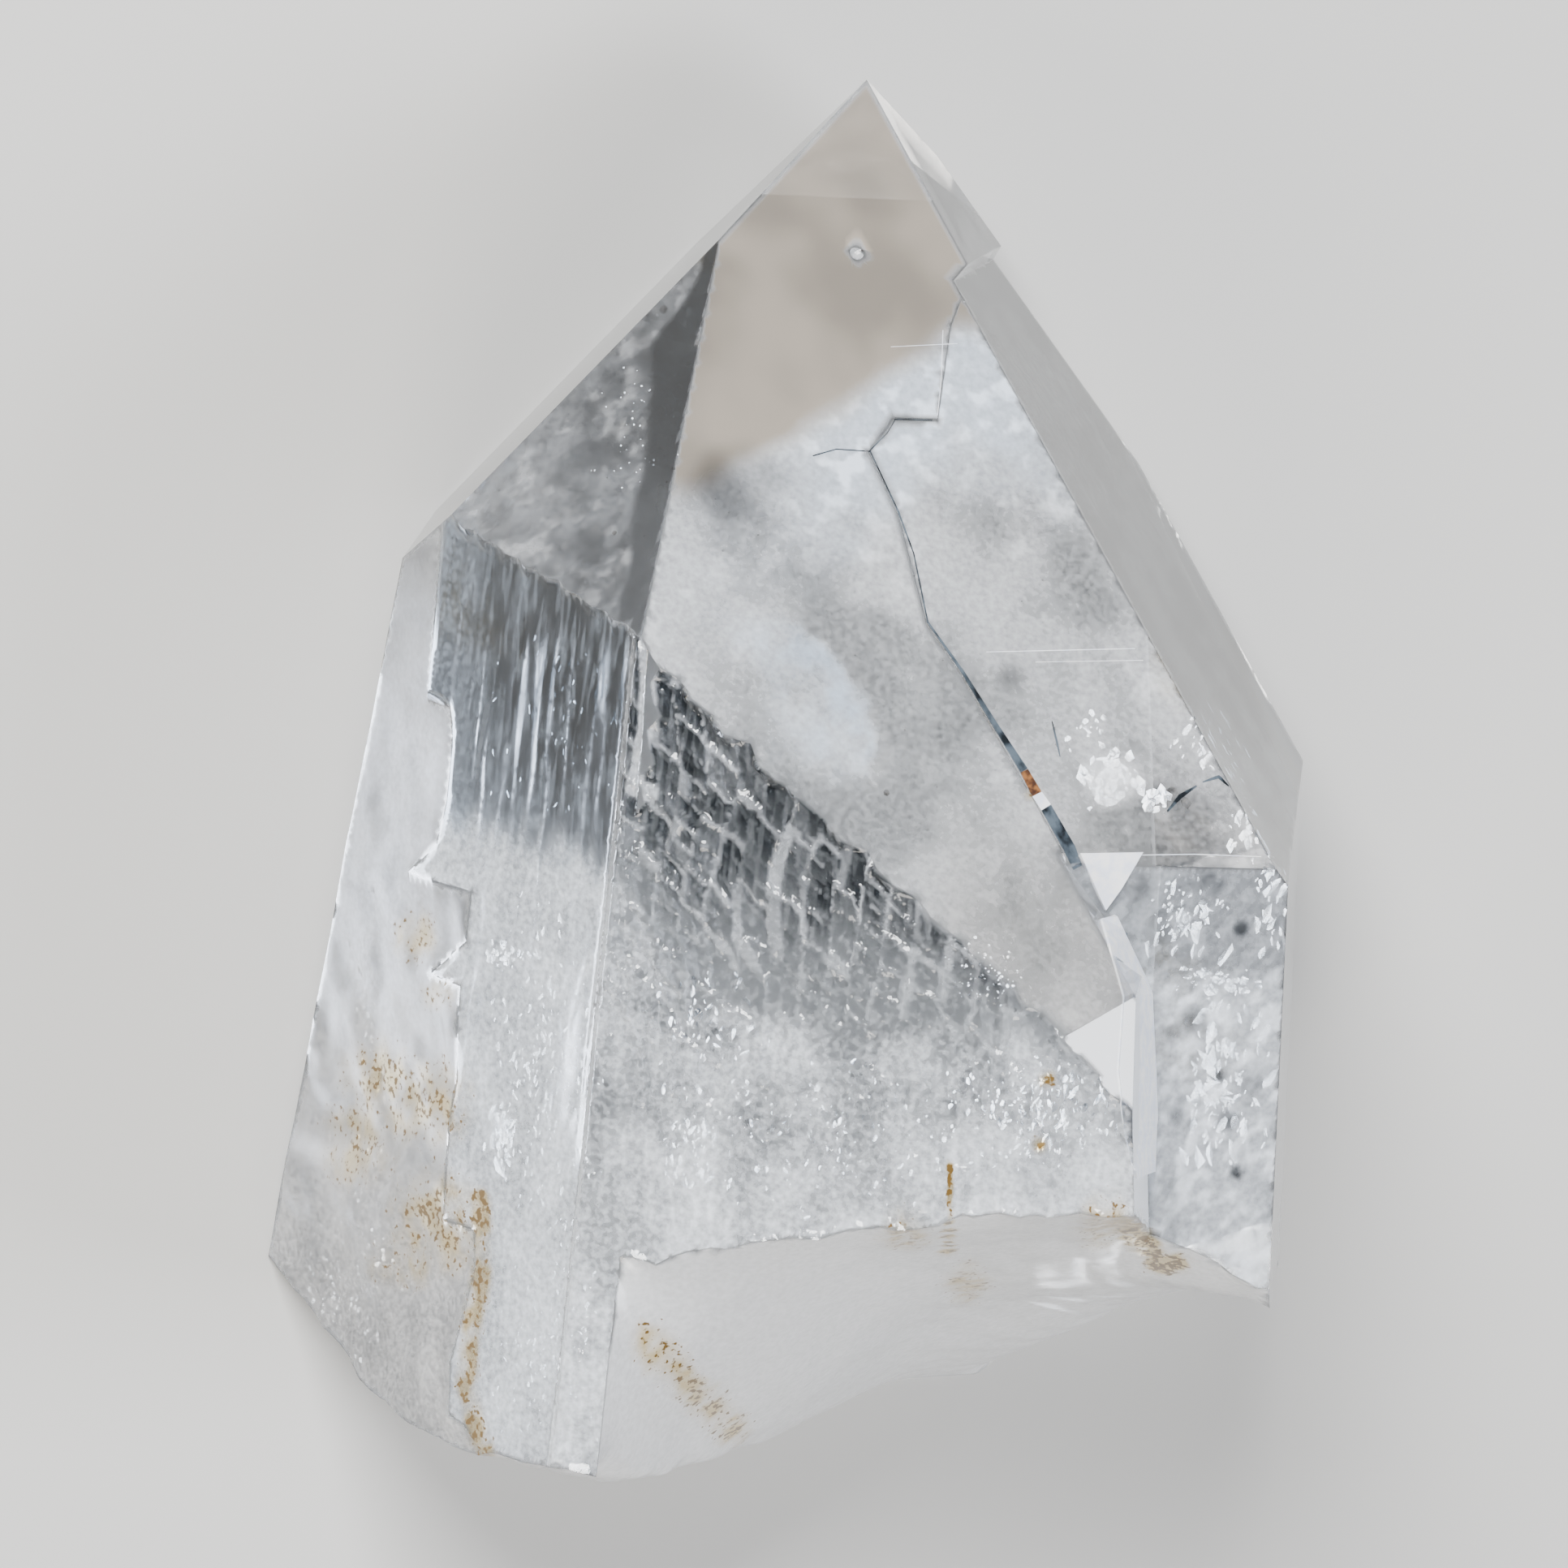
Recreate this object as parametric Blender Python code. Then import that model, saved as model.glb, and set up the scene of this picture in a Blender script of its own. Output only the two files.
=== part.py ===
"""Alpine quartz point, one loose crystal lying on its flat back face.

The crystal is laid out in its own frame first: the origin is its tip, its long axis (the c axis) runs along Y
with the tip towards +Y, and +Z points up from the face it rests on. Each flat growth face is given the way a
crystallographer gives it, by its azimuth about the long axis, its slope towards the tip and its distance from
the tip. The finished solid is then moved so that it stands on z = 0, centred on the origin.
"""

import math
import random
from collections import namedtuple

import bmesh
import bpy
from mathutils import Vector, noise

MM = 0.001

# Quartz angles: a tip face slopes 38.2 degrees from a prism face, and prism faces turn by 60 degrees.
TIP_SLOPE = 38.2

# A face keeps what lies below its plane. Azimuth 0 faces straight up, +90 faces +X. Degrees and millimetres.
Face = namedtuple("Face", "azimuth slope distance")

# The faces round the tip. The first four are those of the photograph, and the last two close the back.
TIP_FACES = [
    Face(0, TIP_SLOPE, 0.0),
    Face(-60, TIP_SLOPE, 4.4),
    Face(-117, 38.7, 0.0),
    Face(60, TIP_SLOPE, 0.0),
    Face(120, TIP_SLOPE, 2.7),
    Face(180, TIP_SLOPE, 0.0),
]

# The sides. The resting face is the lowest one, and the rough front and left faces are cut with relief below.
REST_FACE = Face(180, 0, 8.0)
BACK_LEFT_FACE = Face(-120, 6.4, 16.8)
BACK_RIGHT_FACE = Face(120, 2.0, 18.7)
RIGHT_FACE = Face(64, 3.5, 23.9)
FRONT_FACE = Face(-34, 0, 27.4)
RIBBED_FACE = Face(-70, 0, 23.95)
ROUGH_FACE = Face(-82, -2.3, 24.6)
STRIP_FACE = Face(-51, 1.3, 26.35)
STRIP_END = Face(0, 90, -41.0)

# The right hand third is a lower plate that grew beside the main point: its top and the two risers up to it.
PLATE_TOP = Face(0, 0, 27.4)
PLATE_RISER = Face(62, 7.1, 14.9)
PLATE_TIP_RISER = Face(60, TIP_SLOPE, -8.9)

# A step across the right tip face, and the frosted corner where the main face ends.
TIP_STEP_FACE = Face(60, TIP_SLOPE, -0.9)
TIP_STEP_RISER = Face(56, -30, 10.05)
CORNER_FACE = Face(2.5, 34.4, 3.64)

# The ledge across the main tip face, as (across, down the face from the tip), and its depth at both ends.
LEDGE_LINE = [
    (4.5, 10.0),
    (2.2, 14.2),
    (0.5, 19.7),
    (-2.0, 19.7),
    (-3.7, 21.7),
    (-2.7, 25.1),
    (-2.2, 31.4),
    (-0.8, 34.2),
    (1.7, 40.6),
    (3.3, 44.8),
    (7.0, 54.0),
]
LEDGE_OUTSIDE = [(30.0, 54.0), (30.0, 10.0)]
LEDGE_DEPTH_TOP = 0.05
LEDGE_DEPTH_LOW = 0.40

# Relief of the stepped front face: where it lies, the widths of its treads and risers, how far they stand
# out, and the share of them that is lost towards the base.
FRONT_ACROSS = (-8.0, 32.0)
FRONT_ALONG = (-62.0, -18.0)
FRONT_TREAD = 1.75
FRONT_RISER = 0.75
FRONT_STEP_ACROSS = 0.34
FRONT_STEP_ALONG = 0.26
FRONT_SWELL = 0.22
FRONT_FADES_FROM = -36.0
FRONT_FADES_OVER = 12.0
FRONT_FADE = 0.55

# Relief of the ribbed face and of the rough left face, which is smoother near the tip.
RIBBED_ACROSS = (-1.0, 18.0)
RIBBED_ALONG = (-76.0, -10.0)
RIB_WIDTH = 0.85
RIB_HEIGHT = 0.13
RIB_LENGTH = 4.2
RIBBED_SWELL = 0.16
ROUGH_ACROSS = (-16.0, 17.0)
ROUGH_ALONG = (-78.0, -8.0)
ROUGH_GRAIN = 2.3
ROUGH_HEIGHT = 0.75
ROUGH_FROM = -24.0
ROUGH_GROWS_OVER = 14.0
ROUGH_LEAST = 0.25

# The broken base: an overhanging break on the left, and one large shell shaped scar behind a wall.
BREAK_AT_AXIS = -71.0
BREAK_TURN = -0.235
BREAK_OVERHANG = -0.19
BREAK_BULGE = 1.7
BREAK_BULGE_MIDDLE = 4.0
BREAK_BULGE_HALF = 12.0
BREAK_BULGE_ENDS = (-17.0, -8.0)
BREAK_TURN_ENDS = 2.0
BREAK_SHOULDER = 2.6
BREAK_SHOULDER_RISES = (13.0, 24.0)
BREAK_LUMPS = 0.55
BREAK_GRAIN = 0.35
SCAR_AT_AXIS = -66.8
SCAR_SLOPE = 0.435
SCAR_RIGHT_AT_AXIS = -61.2
SCAR_RIGHT_SLOPE = 0.15
SCAR_RIGHT_FROM = (17.0, 24.0)
SCAR_TONGUE = 2.2
SCAR_TONGUE_ACROSS = (11.0, 16.0)
SCAR_TONGUE_UP = (18.0, 26.0)
SCAR_WALL = Face(45.6, 0, 3.5)
SCAR_HOLLOW = 6.0
SCAR_HOLLOW_WIDTH = 11.0
SCAR_HOLLOW_ENDS = (0.0, 13.0)
SCAR_HOLLOW_UNDER_FRONT = 5.0
SCAR_RIPPLE = 0.22
SCAR_RIPPLE_LENGTH = 4.6
SCAR_RIPPLE_BEND = 1.6
SCAR_STRUCK_AT = (31.0, 38.0)
SCAR_LUMPS = 1.15
SCAR_GRAIN = 0.45

# The grid that carries both, and the reach within which the base is worked out.
BASE_GRID = 1.55
BASE_GRID_SPREAD = 0.2
BASE_ALONG_WALL = (-32.0, 32.0)
BASE_OUT_OF_WALL = (-28.0, 38.0)
BASE_REACH_X = 34.0
BASE_REACH_Z = (-14.0, 46.0)

# Small chips along the lower edges, as (x, y, z, radius).
CHIPS = [
    (25.6, -57.5, 9.5, 1.5),
    (17.9, -57.9, 27.6, 1.1),
    (-2.37, -8.04, 6.33, 0.42),
]

# Corners of the finished mesh this close together, in metres, are one corner.
WELD = 0.000004

BLOCK = 90.0
FAR = 70.0
COLOUR = (0.80, 0.82, 0.83, 1.0)


def normal_of(face):
    azimuth = math.radians(face.azimuth)
    slope = math.radians(face.slope)
    return Vector((math.sin(azimuth) * math.cos(slope), math.sin(slope), math.cos(azimuth) * math.cos(slope)))


def across_of(face):
    azimuth = math.radians(face.azimuth)
    return Vector((math.cos(azimuth), 0.0, -math.sin(azimuth)))


def point_on(face, across, along, height=0.0):
    """A point on a face: across it, along it towards the tip, and out of it."""
    normal = normal_of(face)
    side = across_of(face)
    return normal * (face.distance + height) + side * across + normal.cross(side) * along


def object_of(name, bm):
    bmesh.ops.recalc_face_normals(bm, faces=bm.faces)
    mesh = bpy.data.meshes.new(name)
    bm.to_mesh(mesh)
    bm.free()
    mesh.transform(((MM, 0, 0, 0), (0, MM, 0, 0), (0, 0, MM, 0), (0, 0, 0, 1)))
    item = bpy.data.objects.new(name, mesh)
    bpy.context.scene.collection.objects.link(item)
    return item


def convex_solid(name, inside=(), outside=()):
    """What a large block keeps below the planes of `inside` and above those of `outside`."""
    bm = bmesh.new()
    bmesh.ops.create_cube(bm, size=2 * BLOCK)
    for face in (*inside, *outside):
        bmesh.ops.bisect_plane(
            bm,
            geom=[*bm.verts, *bm.edges, *bm.faces],
            plane_co=normal_of(face) * face.distance,
            plane_no=normal_of(face),
            clear_outer=face in inside,
            clear_inner=face in outside,
        )
        rim = [edge for edge in bm.edges if edge.is_boundary]
        bmesh.ops.edgeloop_fill(bm, edges=rim)
    return object_of(name, bm)


def grid_solid(name, columns, rows, surface, backing):
    """A closed slab over a grid of columns and rows: surface() gives its one side and backing() the other."""
    bm = bmesh.new()
    sides = []
    for place in (surface, backing):
        sides.append([[bm.verts.new(place(i, j)) for j in range(len(rows))] for i in range(len(columns))])
    front, back = sides
    last_i = len(columns) - 1
    last_j = len(rows) - 1
    for i in range(last_i):
        for j in range(last_j):
            for side in sides:
                corner = (side[i][j], side[i + 1][j], side[i + 1][j + 1], side[i][j + 1])
                bm.faces.new(corner[:3])
                bm.faces.new((corner[0], corner[2], corner[3]))
    for i in range(last_i):
        for j in (0, last_j):
            bm.faces.new((front[i][j], front[i + 1][j], back[i + 1][j], back[i][j]))
    for j in range(last_j):
        for i in (0, last_i):
            bm.faces.new((front[i][j], front[i][j + 1], back[i][j + 1], back[i][j]))
    return object_of(name, bm)


def relief_slab(name, face, columns, rows, height):
    """The slab that lies on a face and, cut away, leaves height(i, j, across, along) on it."""

    def surface(i, j):
        return point_on(face, columns[i], rows[j], height(i, j, columns[i], rows[j]))

    def backing(i, j):
        return point_on(face, columns[i], rows[j], FAR)

    return grid_solid(name, columns, rows, surface, backing)


def stops(low, high, widths, seed, spread=0.3):
    """Places from low to high, a width apart in turn, each moved a little, with a far stop at both ends."""
    chance = random.Random(seed)
    found = [low - FAR, low]
    turn = 0
    while found[-1] < high:
        found.append(found[-1] + widths[turn % len(widths)] * chance.uniform(1 - spread, 1 + spread))
        turn += 1
    found.append(high + FAR)
    return found


def lumps(size, *place):
    """Smooth noise from -1 to 1, with lumps of about this size."""
    return noise.noise(Vector(place) / size)


def front_relief(i, j, across, along):
    """Parquet of small growth steps, strongest under the tip face and fading towards the base."""
    fade = 1.0 - FRONT_FADE * min(1.0, max(0.0, (FRONT_FADES_FROM - along) / FRONT_FADES_OVER))
    ridge = FRONT_STEP_ACROSS * (0.5 if i % 2 else -0.5) * (1.0 + 0.8 * lumps(3.1, i, j * 0.7, 2.0))
    tread = FRONT_STEP_ALONG * (0.5 if j % 2 else -0.5) * (1.0 + 0.9 * lumps(1.7, i * 0.6, j, 9.0))
    return fade * (ridge + tread) + FRONT_SWELL * lumps(7.0, across, along, 4.0)


def rib_relief(i, j, across, along):
    rib = RIB_HEIGHT * (0.5 if i % 2 else -0.5) * (1.0 + lumps(2.0, i, j * 0.8, 5.0))
    return rib + RIBBED_SWELL * lumps(5.0, across * 2.0, along * 0.6, 1.0)


def rough_relief(i, j, across, along):
    coarse = lumps(6.5, across, along, 3.0)
    fine = lumps(2.6, across, along, 8.0)
    growing = min(1.0, max(ROUGH_LEAST, (ROUGH_FROM - along) / ROUGH_GROWS_OVER))
    return ROUGH_HEIGHT * growing * (coarse + 0.55 * fine)


def smooth_step(low, high, value):
    share = min(1.0, max(0.0, (value - low) / (high - low)))
    return share * share * (3.0 - 2.0 * share)


def break_height(x, z):
    """The y of the overhanging break at this x and z."""
    height = BREAK_AT_AXIS + BREAK_TURN * min(x, BREAK_TURN_ENDS) + BREAK_OVERHANG * z
    bulge = max(0.0, 1.0 - ((z - BREAK_BULGE_MIDDLE) / BREAK_BULGE_HALF) ** 2)
    height -= BREAK_BULGE * bulge * (1.0 - smooth_step(*BREAK_BULGE_ENDS, x))
    height += BREAK_SHOULDER * smooth_step(*BREAK_SHOULDER_RISES, z)
    return height + BREAK_LUMPS * lumps(5.0, x, z, 1.0) + BREAK_GRAIN * lumps(2.2, x, z, 6.0)


def scar_height(x, z):
    """The y of the shell shaped scar at this x and z, with ripples round the point where it was struck."""
    reach = math.hypot(x - SCAR_STRUCK_AT[0], z - SCAR_STRUCK_AT[1])
    bent = reach + SCAR_RIPPLE_BEND * lumps(9.0, x, z, 12.0)
    ripple = SCAR_RIPPLE * math.sin(2 * math.pi * bent / SCAR_RIPPLE_LENGTH)
    main_scar = SCAR_AT_AXIS + SCAR_SLOPE * z
    right_scar = SCAR_RIGHT_AT_AXIS + SCAR_RIGHT_SLOPE * z
    right = smooth_step(*SCAR_RIGHT_FROM, x)
    tongue = SCAR_TONGUE * smooth_step(*SCAR_TONGUE_ACROSS, x) * smooth_step(*SCAR_TONGUE_UP, z)
    from_wall = normal_of(SCAR_WALL).dot((x, 0.0, z)) - SCAR_WALL.distance
    under_front = FRONT_FACE.distance - normal_of(FRONT_FACE).dot((x, 0.0, z))
    hollow = SCAR_HOLLOW * smooth_step(0.0, SCAR_HOLLOW_UNDER_FRONT, under_front)
    hollow *= 1.0 - smooth_step(*SCAR_HOLLOW_ENDS, x)
    hollow *= 1.0 - smooth_step(0.0, SCAR_HOLLOW_WIDTH, from_wall)
    height = main_scar + right * (right_scar - main_scar) - tongue - hollow + ripple
    return height + SCAR_LUMPS * lumps(11.0, x, z, 37.0) + SCAR_GRAIN * lumps(3.4, x, z, 7.0)


def base_slab(name, columns, rows, height):
    """The slab below a broken surface. Its columns run along the wall of the scar and its rows out of it."""
    along_wall = across_of(SCAR_WALL)
    out_of_wall = normal_of(SCAR_WALL)

    def spot(i, j):
        return along_wall * columns[i] + out_of_wall * rows[j]

    def surface(i, j):
        x = spot(i, j).x
        z = spot(i, j).z
        near_x = min(BASE_REACH_X, max(-BASE_REACH_X, x))
        near_z = min(BASE_REACH_Z[1], max(BASE_REACH_Z[0], z))
        return Vector((x, height(near_x, near_z), z))

    def backing(i, j):
        return Vector((spot(i, j).x, -BLOCK - FAR, spot(i, j).z))

    return grid_solid(name, columns, rows, surface, backing)


def base_cuts():
    """The two slabs that break off the base. The scar's own slab begins at its wall."""
    columns = stops(*BASE_ALONG_WALL, [BASE_GRID], 21, BASE_GRID_SPREAD)
    rows = stops(*BASE_OUT_OF_WALL, [BASE_GRID], 22, BASE_GRID_SPREAD)
    behind_wall = stops(SCAR_WALL.distance, BASE_OUT_OF_WALL[1], [BASE_GRID], 23, BASE_GRID_SPREAD)[1:]
    return [
        base_slab("cut_base_break", columns, rows, break_height),
        base_slab("cut_base_scar", columns, behind_wall, scar_height),
    ]


def plate_cut():
    """All that is above the lower plate, except the main point, which rises from it on two risers."""
    space = convex_solid("cut_plate", outside=[PLATE_TOP])
    main_point = convex_solid("cut_plate_keeps", inside=[PLATE_TIP_RISER, PLATE_RISER])
    subtract(space, main_point)
    return space


def ledge_cut():
    """The prism that lowers the right part of the main tip face by a few tenths of a millimetre."""
    main = TIP_FACES[0]
    outline = LEDGE_LINE + LEDGE_OUTSIDE
    lowest = max(down for _, down in outline)
    highest = min(down for _, down in outline)
    bm = bmesh.new()
    rings = []
    for level in (0, 1):
        ring = []
        for across, down in outline:
            share = (down - highest) / (lowest - highest)
            depth = LEDGE_DEPTH_TOP + share * (LEDGE_DEPTH_LOW - LEDGE_DEPTH_TOP)
            ring.append(bm.verts.new(point_on(main, across, -down, 12.0 if level else -depth)))
        rings.append(ring)
    bm.faces.new(rings[0])
    bm.faces.new(rings[1])
    for k in range(len(outline)):
        after = (k + 1) % len(outline)
        bm.faces.new((rings[0][k], rings[0][after], rings[1][after], rings[1][k]))
    return object_of("cut_ledge", bm)


def chip_cut(index, x, y, z, radius):
    """A small rough ball that bites a chip out of an edge."""
    bm = bmesh.new()
    bmesh.ops.create_icosphere(bm, subdivisions=2, radius=radius)
    for vert in bm.verts:
        vert.co *= 1.0 + 0.25 * lumps(1.3, *(vert.co + Vector((index, 0, 0))))
        vert.co += Vector((x, y, z))
    return object_of(f"cut_chip_{index}", bm)


def cutters():
    """Everything that is cut from the block, in order."""
    return [
        relief_slab(
            "cut_ribbed_face",
            RIBBED_FACE,
            stops(*RIBBED_ACROSS, [RIB_WIDTH], 3),
            stops(*RIBBED_ALONG, [RIB_LENGTH], 4),
            rib_relief,
        ),
        relief_slab(
            "cut_rough_face",
            ROUGH_FACE,
            stops(*ROUGH_ACROSS, [ROUGH_GRAIN], 5),
            stops(*ROUGH_ALONG, [ROUGH_GRAIN], 6),
            rough_relief,
        ),
        relief_slab(
            "cut_front_face",
            FRONT_FACE,
            stops(*FRONT_ACROSS, [FRONT_TREAD, FRONT_RISER], 7),
            stops(*FRONT_ALONG, [FRONT_TREAD, FRONT_RISER], 8),
            front_relief,
        ),
        convex_solid("cut_edge_strip", outside=[STRIP_FACE, STRIP_END]),
        *base_cuts(),
        plate_cut(),
        convex_solid("cut_tip_step", outside=[TIP_STEP_FACE, TIP_STEP_RISER]),
        convex_solid("cut_corner", outside=[CORNER_FACE]),
        ledge_cut(),
        *(chip_cut(index, *chip) for index, chip in enumerate(CHIPS)),
    ]


def subtract(solid, cutter):
    cutter.hide_render = True
    cutter.display_type = "WIRE"
    cut = solid.modifiers.new(cutter.name, "BOOLEAN")
    cut.operation = "DIFFERENCE"
    cut.object = cutter


def quartz():
    material = bpy.data.materials.new("clear quartz")
    material.use_nodes = True
    shader = material.node_tree.nodes["Principled BSDF"]
    shader.inputs["Base Color"].default_value = COLOUR
    shader.inputs["Roughness"].default_value = 0.05
    shader.inputs["Metallic"].default_value = 0.0
    shader.inputs["IOR"].default_value = 1.544
    shader.inputs["Transmission Weight"].default_value = 1.0
    return material


def settle(crystal):
    """Turns the cut solid into a plain mesh and stands it on z = 0, centred on the origin."""
    graph = bpy.context.evaluated_depsgraph_get()
    mesh = bpy.data.meshes.new_from_object(crystal.evaluated_get(graph))
    crystal.modifiers.clear()
    crystal.data = mesh
    spans = [[vert.co[axis] for vert in mesh.vertices] for axis in range(3)]
    middle = [(min(span) + max(span)) / 2 for span in spans]
    bm = bmesh.new()
    bm.from_mesh(mesh)
    bmesh.ops.translate(bm, verts=bm.verts, vec=(-middle[0], -middle[1], -min(spans[2])))
    bmesh.ops.remove_doubles(bm, verts=bm.verts, dist=WELD)
    bmesh.ops.dissolve_degenerate(bm, edges=bm.edges, dist=WELD)
    bmesh.ops.dissolve_limit(bm, angle_limit=math.radians(0.02), verts=bm.verts, edges=bm.edges)
    bmesh.ops.triangulate(bm, faces=bm.faces)
    bm.to_mesh(mesh)
    bm.free()
    mesh.name = "quartz_point"


def build():
    for item in list(bpy.data.objects):
        bpy.data.objects.remove(item)
    sides = [REST_FACE, BACK_LEFT_FACE, BACK_RIGHT_FACE, RIGHT_FACE]
    crystal = convex_solid("quartz_point", inside=[*TIP_FACES, *sides])
    for cutter in cutters():
        subtract(crystal, cutter)
    bpy.context.view_layer.update()
    settle(crystal)
    for item in list(bpy.data.objects):
        if item != crystal:
            bpy.data.objects.remove(item)
    crystal.data.materials.clear()
    crystal.data.materials.append(quartz())


build()
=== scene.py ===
"""Alpine quartz point: one loose, clear rock crystal lying on its flat back face, on a pale studio floor."""

import math
import random
from collections import namedtuple

import bmesh
import bpy
import numpy as np
from mathutils import Matrix, Vector, kdtree, noise
from mathutils.bvhtree import BVHTree


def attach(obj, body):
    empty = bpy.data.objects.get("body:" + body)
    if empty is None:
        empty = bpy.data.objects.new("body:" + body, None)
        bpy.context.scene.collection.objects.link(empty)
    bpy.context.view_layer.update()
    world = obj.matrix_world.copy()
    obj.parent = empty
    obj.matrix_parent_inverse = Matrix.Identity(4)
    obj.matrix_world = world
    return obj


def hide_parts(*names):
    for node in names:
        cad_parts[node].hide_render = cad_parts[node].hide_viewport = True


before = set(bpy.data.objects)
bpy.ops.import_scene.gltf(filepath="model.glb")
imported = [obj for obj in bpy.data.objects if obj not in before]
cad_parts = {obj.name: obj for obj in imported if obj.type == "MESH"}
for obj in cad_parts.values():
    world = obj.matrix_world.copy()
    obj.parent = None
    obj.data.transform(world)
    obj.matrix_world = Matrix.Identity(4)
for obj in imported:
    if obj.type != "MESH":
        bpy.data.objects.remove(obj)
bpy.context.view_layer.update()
cad_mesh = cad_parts["quartz_point"].data

# Where the crystal lies. Its own frame is in millimetres: the origin is its tip, the long axis (the c axis)
# runs along Y with the tip towards +Y, and +Z points up from the face it rests on.
MM = 0.001
tip = max((vert.co for vert in cad_mesh.vertices), key=lambda place: place.y).copy()


def in_row(place):
    """A place given in the crystal's own millimetres, in the row frame."""
    return tip + Vector(place) * MM


# The camera looks down on the lying crystal from its left front, with the tip up in the picture, through a
# long lens. The photograph is 1932 pixels wide and shows 80.5 mm of the crystal's neighbourhood.
PHOTO_WIDTH_MM = 80.5
TOWARDS_CAMERA = Vector((-0.4005, 0.1736, 0.8996)).normalized()
PICTURE_RIGHT = Vector((0.9159, 0.1029, 0.3879))
CAMERA_AWAY_MM = 1000.0
CAMERA_SEES_FROM = 0.05
SENSOR_MM = 36.0
TIP_RIGHT_OF_MIDDLE = 4.25
TIP_ABOVE_MIDDLE = 36.17

picture_right = (PICTURE_RIGHT - PICTURE_RIGHT.project(TOWARDS_CAMERA)).normalized()
picture_up = TOWARDS_CAMERA.cross(picture_right)
looked_at = in_row(-TIP_RIGHT_OF_MIDDLE * picture_right - TIP_ABOVE_MIDDLE * picture_up)
camera = bpy.data.objects.new("camera", bpy.data.cameras.new("camera"))
camera.data.sensor_width = SENSOR_MM
camera.data.lens = SENSOR_MM * CAMERA_AWAY_MM / PHOTO_WIDTH_MM
camera.data.clip_start = CAMERA_SEES_FROM
turn = Matrix((picture_right, picture_up, TOWARDS_CAMERA)).transposed()
away = TOWARDS_CAMERA * CAMERA_AWAY_MM * MM
camera.matrix_world = Matrix.Translation(looked_at + away) @ turn.to_4x4()
bpy.context.scene.collection.objects.link(camera)
bpy.context.scene.camera = camera


def linear(hex_colour):
    """An sRGB hex colour as the linear RGBA that a shader takes."""
    parts = [int(hex_colour[i : i + 2], 16) / 255 for i in (1, 3, 5)]
    return (*(c / 12.92 if c <= 0.04045 else ((c + 0.055) / 1.055) ** 2.4 for c in parts), 1.0)


def add_node(tree, kind, settings=None, **links):
    """Adds a node with its settings and links.

    A link is a socket or a plain value. It goes by the name of the input, with _ for a space, or by _ and the
    number of the input.
    """
    node = tree.nodes.new(kind)
    for name, value in (settings or {}).items():
        setattr(node, name, value)
    for name, value in links.items():
        socket = node.inputs[int(name[1:])] if name[1:].isdigit() else node.inputs[name.replace("_", " ")]
        if isinstance(value, bpy.types.NodeSocket):
            tree.links.new(value, socket)
        else:
            socket.default_value = value
    return node


def new_material(name):
    material = bpy.data.materials.new(name)
    material.use_nodes = True
    material.node_tree.nodes.clear()
    return material


# The room, which is no part of the crystal: a matt pale paper floor, a large softbox behind and to the left,
# smaller ones on the right and in front, and a dim even world round them, so that clear faces have something
# bright and something dark to mirror. The paper looks even and shows soft shadows.
FLOOR_COLOUR = "#c9c8c5"
FLOOR_HALF = 3.0
FLOOR_GAP = 0.0001
bm = bmesh.new()
bmesh.ops.create_grid(bm, x_segments=1, y_segments=1, size=FLOOR_HALF)
floor = bpy.data.objects.new("studio_floor", bpy.data.meshes.new("studio_floor"))
bm.to_mesh(floor.data)
bm.free()
floor.location.z = -FLOOR_GAP
bpy.context.scene.collection.objects.link(floor)
paper = new_material("matt background paper")
nodes = paper.node_tree
shader = add_node(nodes, "ShaderNodeBsdfPrincipled", Base_Color=linear(FLOOR_COLOUR), Roughness=0.9)
add_node(nodes, "ShaderNodeOutputMaterial", Surface=shader.outputs["BSDF"])
floor.data.materials.append(paper)

WORLD_COLOUR = "#b9c0c8"
WORLD_STRENGTH = 0.35
world = bpy.data.worlds.new("studio")
world.use_nodes = True
bpy.context.scene.world = world
world.node_tree.nodes["Background"].inputs["Color"].default_value = linear(WORLD_COLOUR)
world.node_tree.nodes["Background"].inputs["Strength"].default_value = WORLD_STRENGTH


def softbox(name, towards, distance, size, watts, colour):
    """A square area light that faces the crystal from a direction."""
    data = bpy.data.lights.new(name, "AREA")
    data.shape = "SQUARE"
    data.size = size
    data.energy = watts
    data.color = linear(colour)[:3]
    item = bpy.data.objects.new(name, data)
    direction = Vector(towards).normalized()
    item.location = looked_at + direction * distance
    item.rotation_euler = direction.to_track_quat("Z", "Y").to_euler()
    bpy.context.scene.collection.objects.link(item)


# The ways from the crystal to its softboxes. Distances and sizes are in metres, and powers in watts.
KEY_WAY = (-0.75, 0.9, 1.1)
FILL_WAY = (1.0, -0.2, 0.9)
FRONT_WAY = (-0.5, -1.0, 0.8)
softbox("key_light", KEY_WAY, distance=0.9, size=0.36, watts=19.0, colour="#ffffff")
softbox("fill_light", FILL_WAY, distance=1.0, size=0.5, watts=9.0, colour="#f2f6ff")
softbox("front_light", FRONT_WAY, distance=1.0, size=0.45, watts=7.0, colour="#fff8ee")

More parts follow.
